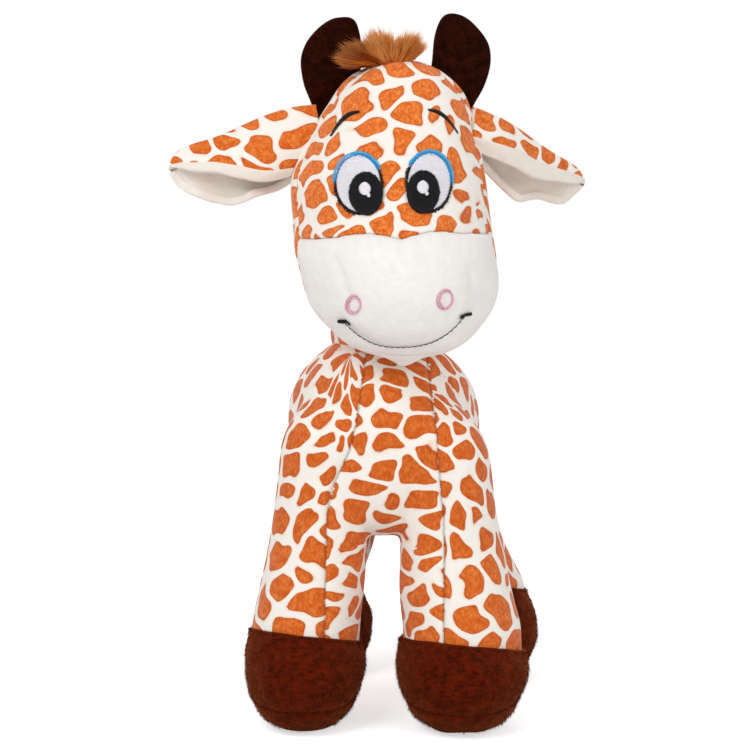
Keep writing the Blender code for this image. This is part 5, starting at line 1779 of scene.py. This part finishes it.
class GIRAFFE_OT_horns(GiraffePieceOperator, bpy.types.Operator):
    """Makes both horns, each of two halves sewn together round the edge"""

    bl_idname = "giraffe.horns"
    bl_label = "Horns"

    def execute(self, context):
        sizes = context.scene.giraffe_horn
        half = sizes.half_width
        form = Form([(sizes.length * reach, half * out * 2, half * width, width, width)
                     for reach, width, out in HORN_SHARES])
        rows, columns = 80, 60
        # More rows lie near the rounded top
        height, middle, half_width, width, _ = form.ring(np.linspace(0, 1, rows) ** 0.9).T[:, :, None]
        half_width = np.maximum(half_width, 0.00005)
        thick = sizes.half_thickness * np.sqrt(np.maximum(width, 0)) + 0.0004
        turns = np.linspace(0, math.pi, columns)
        # The halves are puffed up in the middle, and the seam round the edge draws them in
        seam = np.minimum(turns, math.pi - turns) * half_width
        puff = thick * np.sin(turns) ** 0.55 * (1 - 0.35 * bell(seam, 0.0012))
        for side, sign in SIDES:
            lean = sizes.left_lean if sign > 0 else sizes.right_lean
            inset = 0.0 if sign > 0 else sizes.right_inset
            foot = Vector(JOINTS[side + "_horn_bend"]["pos_m"]) + Vector((inset, 0, 0))
            place = (Matrix.Translation(foot) @ head_place().to_3x3().to_4x4()
                     @ Matrix.Rotation(lean * sign, 4, "Y") @ Matrix.Translation((0, 0, -sizes.root)))
            for half, way in (("front", -1), ("back", 1)):
                x = sign * middle + half_width * np.cos(turns)
                grid = np.stack(np.broadcast_arrays(x, way * puff, height), -1).reshape(-1, 3)
                faces = grid_faces(rows, columns)
                if way < 0:
                    faces = faces[:, ::-1]
                facing = mesh_normals(grid, faces)
                grid = dented(grid, facing, "horn", 50 + sign)
                grid, facing = placed(grid, place), turned(facing, place)
                both, quads = thickened(grid, facing, faces, HORN_PLUSH)
                values = {"cloth": np.tile(grid[:, [0, 2, 1]], (2, 1)), "seam": np.tile(seam.ravel(), 2)}
                piece(f"{side}_horn_{half}_half", both, quads, HORN_CLOTH, side + "_horn",
                      (f"{side}_horn_{half}",), values=values)
        return {"FINISHED"}


def fur(roots, tips, tones, seed, count, droop, spread, radius):
    """Strands of fur in clumps, each clump from a root to a tip, as points, faces, and shade and reach."""
    draws = np.random.default_rng(seed)
    steps, sides = 7, 3
    share = np.linspace(0, 1, steps)
    clump = draws.integers(0, len(roots), count)
    root = roots[clump] + draws.normal(0, 1, (count, 3)) * spread * (1, 1, 0.3)
    tip = tips[clump] + draws.normal(0, 1, (count, 3)) * spread * 0.45
    run = (tip - root) * draws.uniform(0.72, 1.08, count)[:, None]
    bend = draws.normal(0, 1, (count, 3)) * np.linalg.norm(run, axis=1)[:, None] * 0.12 + droop
    bow = (share ** 2 * (1.4 - share))[:, None]
    paths = root[:, None] + run[:, None] * share[:, None] + bend[:, None] * bow
    radii = radius * draws.uniform(0.7, 1.25, count)[:, None] * (1.02 - share ** 2.2)
    points, faces = tubes(paths, radii, np.broadcast_to((0.3, -1.0, 0.2), paths.shape), sides)
    tone = np.clip(tones[clump] + draws.uniform(-0.15, 0.25, count), 0, 1)
    return points, faces, {"shade": np.repeat(tone, steps * sides),
                           "reach": np.tile(np.repeat(share, sides), count)}


# The tuft's three clusters, a dark one over to the toy's right and two golden ones beside it: how far each
# is from the middle, how it leans and fans out in radians, its length and its tone
TUFTS = (
    (-0.0060, -1.12, 0.42, 0.0215, 0.05),
    (-0.0015, -0.32, 0.40, 0.0185, 0.60),
    (0.0035, 0.55, 0.36, 0.0180, 0.50),
)


class GIRAFFE_OT_tuft(GiraffePieceOperator, bpy.types.Operator):
    """Plants the fan of fur in the dart on the crown"""

    bl_idname = "giraffe.tuft"
    bl_label = "Tuft"

    def execute(self, context):
        sizes = context.scene.giraffe_head
        draws = np.random.default_rng(120)
        crown = NECK[2] - sizes.chin_drop + sizes.height
        roots, tips, tones = [], [], []
        for across, lean, fan, reach, tone in TUFTS:
            for _ in range(60):
                aside = draws.uniform(-1, 1)
                turn = lean + fan * aside
                size = reach * (1 - 0.22 * aside ** 2) * draws.uniform(0.80, 1.05)
                depth = draws.uniform(-0.012, 0.009)
                root = np.array((sizes.shift + across + 0.0030 * aside, 0.002 + 0.35 * depth, crown - 0.0025))
                roots.append(root)
                tips.append(root + (size * math.sin(turn), 0.6 * depth, size * max(math.cos(turn), 0.12)))
                tones.append(tone + draws.uniform(-0.1, 0.35))
        roots, tips = (placed(np.array(values), head_place()) for values in (roots, tips))
        count = 8000
        points, faces, values = fur(roots, tips, np.array(tones), 121, count, droop=(0, 0, -0.0016),
                                    spread=0.0011, radius=0.00023)
        piece("crown_fur", points, faces, FAUX_FUR, "head", ("crown_tuft",), values=values)
        return {"FINISHED"}


class GiraffeTailSizes(bpy.types.PropertyGroup):
    """Sizes of the tail."""

    radius: length("Radius", 0.0042, "Radius of the sewn tube")
    length: length("Length", 0.052, "From the seam on the rump to the fur")
    fur: length("Fur", 0.021, "Length of the fur on its end")


class GIRAFFE_OT_tail(GiraffePieceOperator, bpy.types.Operator):
    """Hangs the tail, a sewn tube with fur on its end"""

    bl_idname = "giraffe.tail"
    bl_label = "Tail"

    def execute(self, context):
        sizes = context.scene.giraffe_tail
        top = np.array(JOINTS["tail_lift"]["pos_m"])
        rows, columns = 60, 28
        share = np.linspace(0, 1, rows)
        # The tube starts inside the rump, comes out of it and hangs down, and is made from its end up
        drop = share * (sizes.length + 0.003)
        bow = -0.006 * np.exp(-drop / 0.006) - 0.002 * np.sin(math.pi * share)
        path = (top + np.stack([0 * drop, bow, 0.004 - drop], -1))[::-1]
        radius = sizes.radius * (1 - 0.12 * share) * np.sqrt(np.minimum(1, (1 - share) / 0.03 + 0.05))
        turns = ring_turns(columns)
        ring = np.stack([np.sin(turns), -np.cos(turns), 0 * turns], -1)
        seam = np.abs((turns + math.pi) % (2 * math.pi) - math.pi)
        groove = 1 - 0.12 * bell(seam, 0.25)
        grid = path[:, None] + ring * (radius[::-1, None, None] * groove[:, None])
        facing = np.broadcast_to(ring, grid.shape).reshape(-1, 3)
        cloth = np.column_stack([np.tile(turns * sizes.radius, rows), np.repeat(path[:, 2], columns)])
        grid = dented(grid.reshape(-1, 3), facing, "tail", 130)
        faces = [*grid_faces(rows, columns, closed=True).tolist(), *end_faces(rows, columns)]
        values = print_values("tail", cloth, 31, np.tile(seam * sizes.radius, rows), layers=1)
        piece("tail_tube", grid, faces, PRINTED, ("body", "tail"), ("tail",),
              values=values)
        draws = np.random.default_rng(131)
        end = path[0] + (0, 0, 0.003)
        turn = draws.uniform(0, 2 * math.pi, 40)
        width = draws.uniform(0.1, 1, 40)
        flare = np.stack([np.sin(turn) * width, np.cos(turn) * width, 0 * turn], -1)
        roots = end + flare * 0.0026
        tips = end + flare * 0.0050 - (0, 0, sizes.fur)
        tones = draws.uniform(0, 0.6, 40)
        count = 1300
        points, faces, values = fur(roots, tips, tones, 132, count, droop=(0, 0, 0), spread=0.0006,
                                    radius=0.00020)
        piece("tail_fur", points, faces, FAUX_FUR, "tail", ("tail_tuft",), values=values)
        return {"FINISHED"}


class GiraffeStageSizes(bpy.types.PropertyGroup):
    """The camera."""

    distance: length("Distance", 1.0, "From the camera to the middle of the view")
    azimuth: angle("Azimuth", 3, "How far the camera stands to the toy's left")
    elevation: angle("Elevation", 5, "How far the camera looks down")
    lens: bpy.props.FloatProperty(name="Lens", description="Focal length in millimetres on a 36 mm sensor",
                                  default=93.07)
    target: bpy.props.FloatVectorProperty(name="Target", description="What the camera looks at",
                                          default=(-0.0036, -0.0059, 0.1675), subtype="TRANSLATION")


# The soft lamps: name, place, width across and power in watts
LAMPS = (
    ("key", (-0.9, -1.3, 1.5), 1.1, 15),
    ("fill", (1.2, -1.2, 0.9), 1.2, 7),
    ("rim", (0.2, 1.4, 1.6), 1.0, 5),
)


class GIRAFFE_OT_stage(bpy.types.Operator):
    """Sets the white floor, the pale room, three soft lamps and the camera"""

    bl_idname = "giraffe.stage"
    bl_label = "Stage"

    def execute(self, context):
        sizes = context.scene.giraffe_stage
        scene = context.scene
        scene.view_settings.view_transform = "Standard"

        def stand(name, data, place, back):
            """An object whose Z axis points back from what it looks at."""
            made = bpy.data.objects.new(name, data)
            scene.collection.objects.link(made)
            made.location = place
            made.rotation_euler = back.to_track_quat("Z", "Y").to_euler()
            return made

        lens = bpy.data.cameras.new("camera")
        lens.lens = sizes.lens
        lens.sensor_width = 36
        level = math.cos(sizes.elevation)
        back = Vector((math.sin(sizes.azimuth) * level, -math.cos(sizes.azimuth) * level,
                       math.sin(sizes.elevation)))
        target = Vector(sizes.target)
        scene.camera = stand("camera", lens, target + back * sizes.distance, back)
        mesh = bpy.data.meshes.new("floor")
        reach = 12.0
        corners = [(x * reach, y * reach, 0) for x, y in ((-1, -1), (1, -1), (1, 1), (-1, 1))]
        mesh.from_pydata(corners, [], [(0, 1, 2, 3)])
        floor = bpy.data.objects.new("floor", mesh)
        scene.collection.objects.link(floor)
        # White seamless paper: a dull even white that the light of the room bleaches out
        tree = blank("seamless_paper")
        card = add(tree, "BsdfDiffuse", {"Color": (0.86, 0.86, 0.86, 1), "Roughness": 0.0})
        glow = add(tree, "Emission", {"Color": (1, 1, 1, 1), "Strength": 0.60})
        seen = add(tree, "LightPath").outputs["Is Camera Ray"]
        lit = add(tree, "AddShader", {0: card.outputs[0], 1: glow.outputs[0]})
        mixed = add(tree, "MixShader", {"Fac": seen, 1: card.outputs[0], 2: lit.outputs[0]})
        add(tree, "OutputMaterial", {"Surface": mixed.outputs[0]})
        mesh.materials.append(bpy.data.materials["seamless_paper"])
        # The room is white to the eye and in reflections, and lights the toy half as strongly
        scene.world = bpy.data.worlds.new("room")
        scene.world.use_nodes = True
        tree = scene.world.node_tree
        tree.nodes.clear()
        rays = add(tree, "LightPath").outputs
        seen = add(tree, "Math", {0: rays["Is Camera Ray"], 1: rays["Is Glossy Ray"]}, operation="MAXIMUM")
        seen = add(tree, "Math", {0: seen.outputs[0], 1: rays["Is Transmission Ray"]}, operation="MAXIMUM")
        strength = add(tree, "MapRange", {"Value": seen.outputs[0], "To Min": 0.50, "To Max": 1.0})
        shade = add(tree, "Background", {"Color": (1, 1, 1, 1), "Strength": strength.outputs[0]})
        add(tree, "OutputWorld", {"Surface": shade.outputs[0]})
        for name, place, width, power in LAMPS:
            lamp = bpy.data.lights.new(name, "AREA")
            lamp.shape = "DISK"
            lamp.size = width
            lamp.energy = power
            stand(name, lamp, place, Vector(place) - target)
        return {"FINISHED"}


class GIRAFFE_OT_finishes(bpy.types.Operator):
    """Makes every cloth, plush, fur and thread"""

    bl_idname = "giraffe.finishes"
    bl_label = "Finishes"

    def execute(self, context):
        colours = context.scene.giraffe_threads
        velboa()
        white_plush()
        brown_plush()
        horn_cloth()
        faux_fur()
        # Each thread is a little darker in the shade of its neighbours
        white, black, pink = (np.array(found) for found in (colours.white, colours.black, colours.pink))
        thread("rayon_white", white * 0.86, white)
        thread("rayon_black", black * 0.4, black, 0.55, 0.2)
        thread("rayon_blue", colours.blue, colours.blue_light)
        thread("rayon_pink", pink * 0.9, pink)
        return {"FINISHED"}


class GIRAFFE_PT_sidebar(bpy.types.Panel):
    """Lists the giraffe's pieces in the order that they are made"""

    bl_idname = "GIRAFFE_PT_sidebar"
    bl_label = "Giraffe"
    bl_space_type = "VIEW_3D"
    bl_region_type = "UI"
    bl_category = "Giraffe"

    def draw(self, context):
        for operator in OPERATORS:
            self.layout.operator(operator.bl_idname)
        for key in GROUPS:
            box = self.layout.box()
            for name in GROUPS[key].__annotations__:
                box.prop(getattr(context.scene, key), name)


GROUPS = {
    "giraffe_body": GiraffeBodySizes,
    "giraffe_foot": GiraffeFootSizes,
    "giraffe_head": GiraffeHeadSizes,
    "giraffe_face": GiraffeFaceSizes,
    "giraffe_ear": GiraffeEarSizes,
    "giraffe_horn": GiraffeHornSizes,
    "giraffe_tail": GiraffeTailSizes,
    "giraffe_print": GiraffePrintSizes,
    "giraffe_cloth": GiraffeClothColours,
    "giraffe_threads": GiraffeThreadColours,
    "giraffe_stage": GiraffeStageSizes,
}
OPERATORS = (
    GIRAFFE_OT_stage,
    GIRAFFE_OT_finishes,
    GIRAFFE_OT_body,
    GIRAFFE_OT_feet,
    GIRAFFE_OT_neck,
    GIRAFFE_OT_head,
    GIRAFFE_OT_eyes,
    GIRAFFE_OT_lines,
    GIRAFFE_OT_ears,
    GIRAFFE_OT_horns,
    GIRAFFE_OT_tuft,
    GIRAFFE_OT_tail,
)


def register():
    for key, group in GROUPS.items():
        bpy.utils.register_class(group)
        setattr(bpy.types.Scene, key, bpy.props.PointerProperty(type=group))
    for operator in OPERATORS:
        bpy.utils.register_class(operator)
    bpy.utils.register_class(GIRAFFE_PT_sidebar)


def unregister():
    bpy.utils.unregister_class(GIRAFFE_PT_sidebar)
    for operator in reversed(OPERATORS):
        bpy.utils.unregister_class(operator)
    for key, group in reversed(GROUPS.items()):
        delattr(bpy.types.Scene, key)
        bpy.utils.unregister_class(group)


def main():
    register()
    bpy.ops.giraffe.stage()
    bpy.ops.giraffe.finishes()
    bpy.ops.giraffe.body()
    bpy.ops.giraffe.feet()
    bpy.ops.giraffe.neck()
    bpy.ops.giraffe.head()
    bpy.ops.giraffe.eyes()
    bpy.ops.giraffe.lines()
    bpy.ops.giraffe.ears()
    bpy.ops.giraffe.horns()
    bpy.ops.giraffe.tuft()
    bpy.ops.giraffe.tail()


if __name__ == "__main__":
    main()
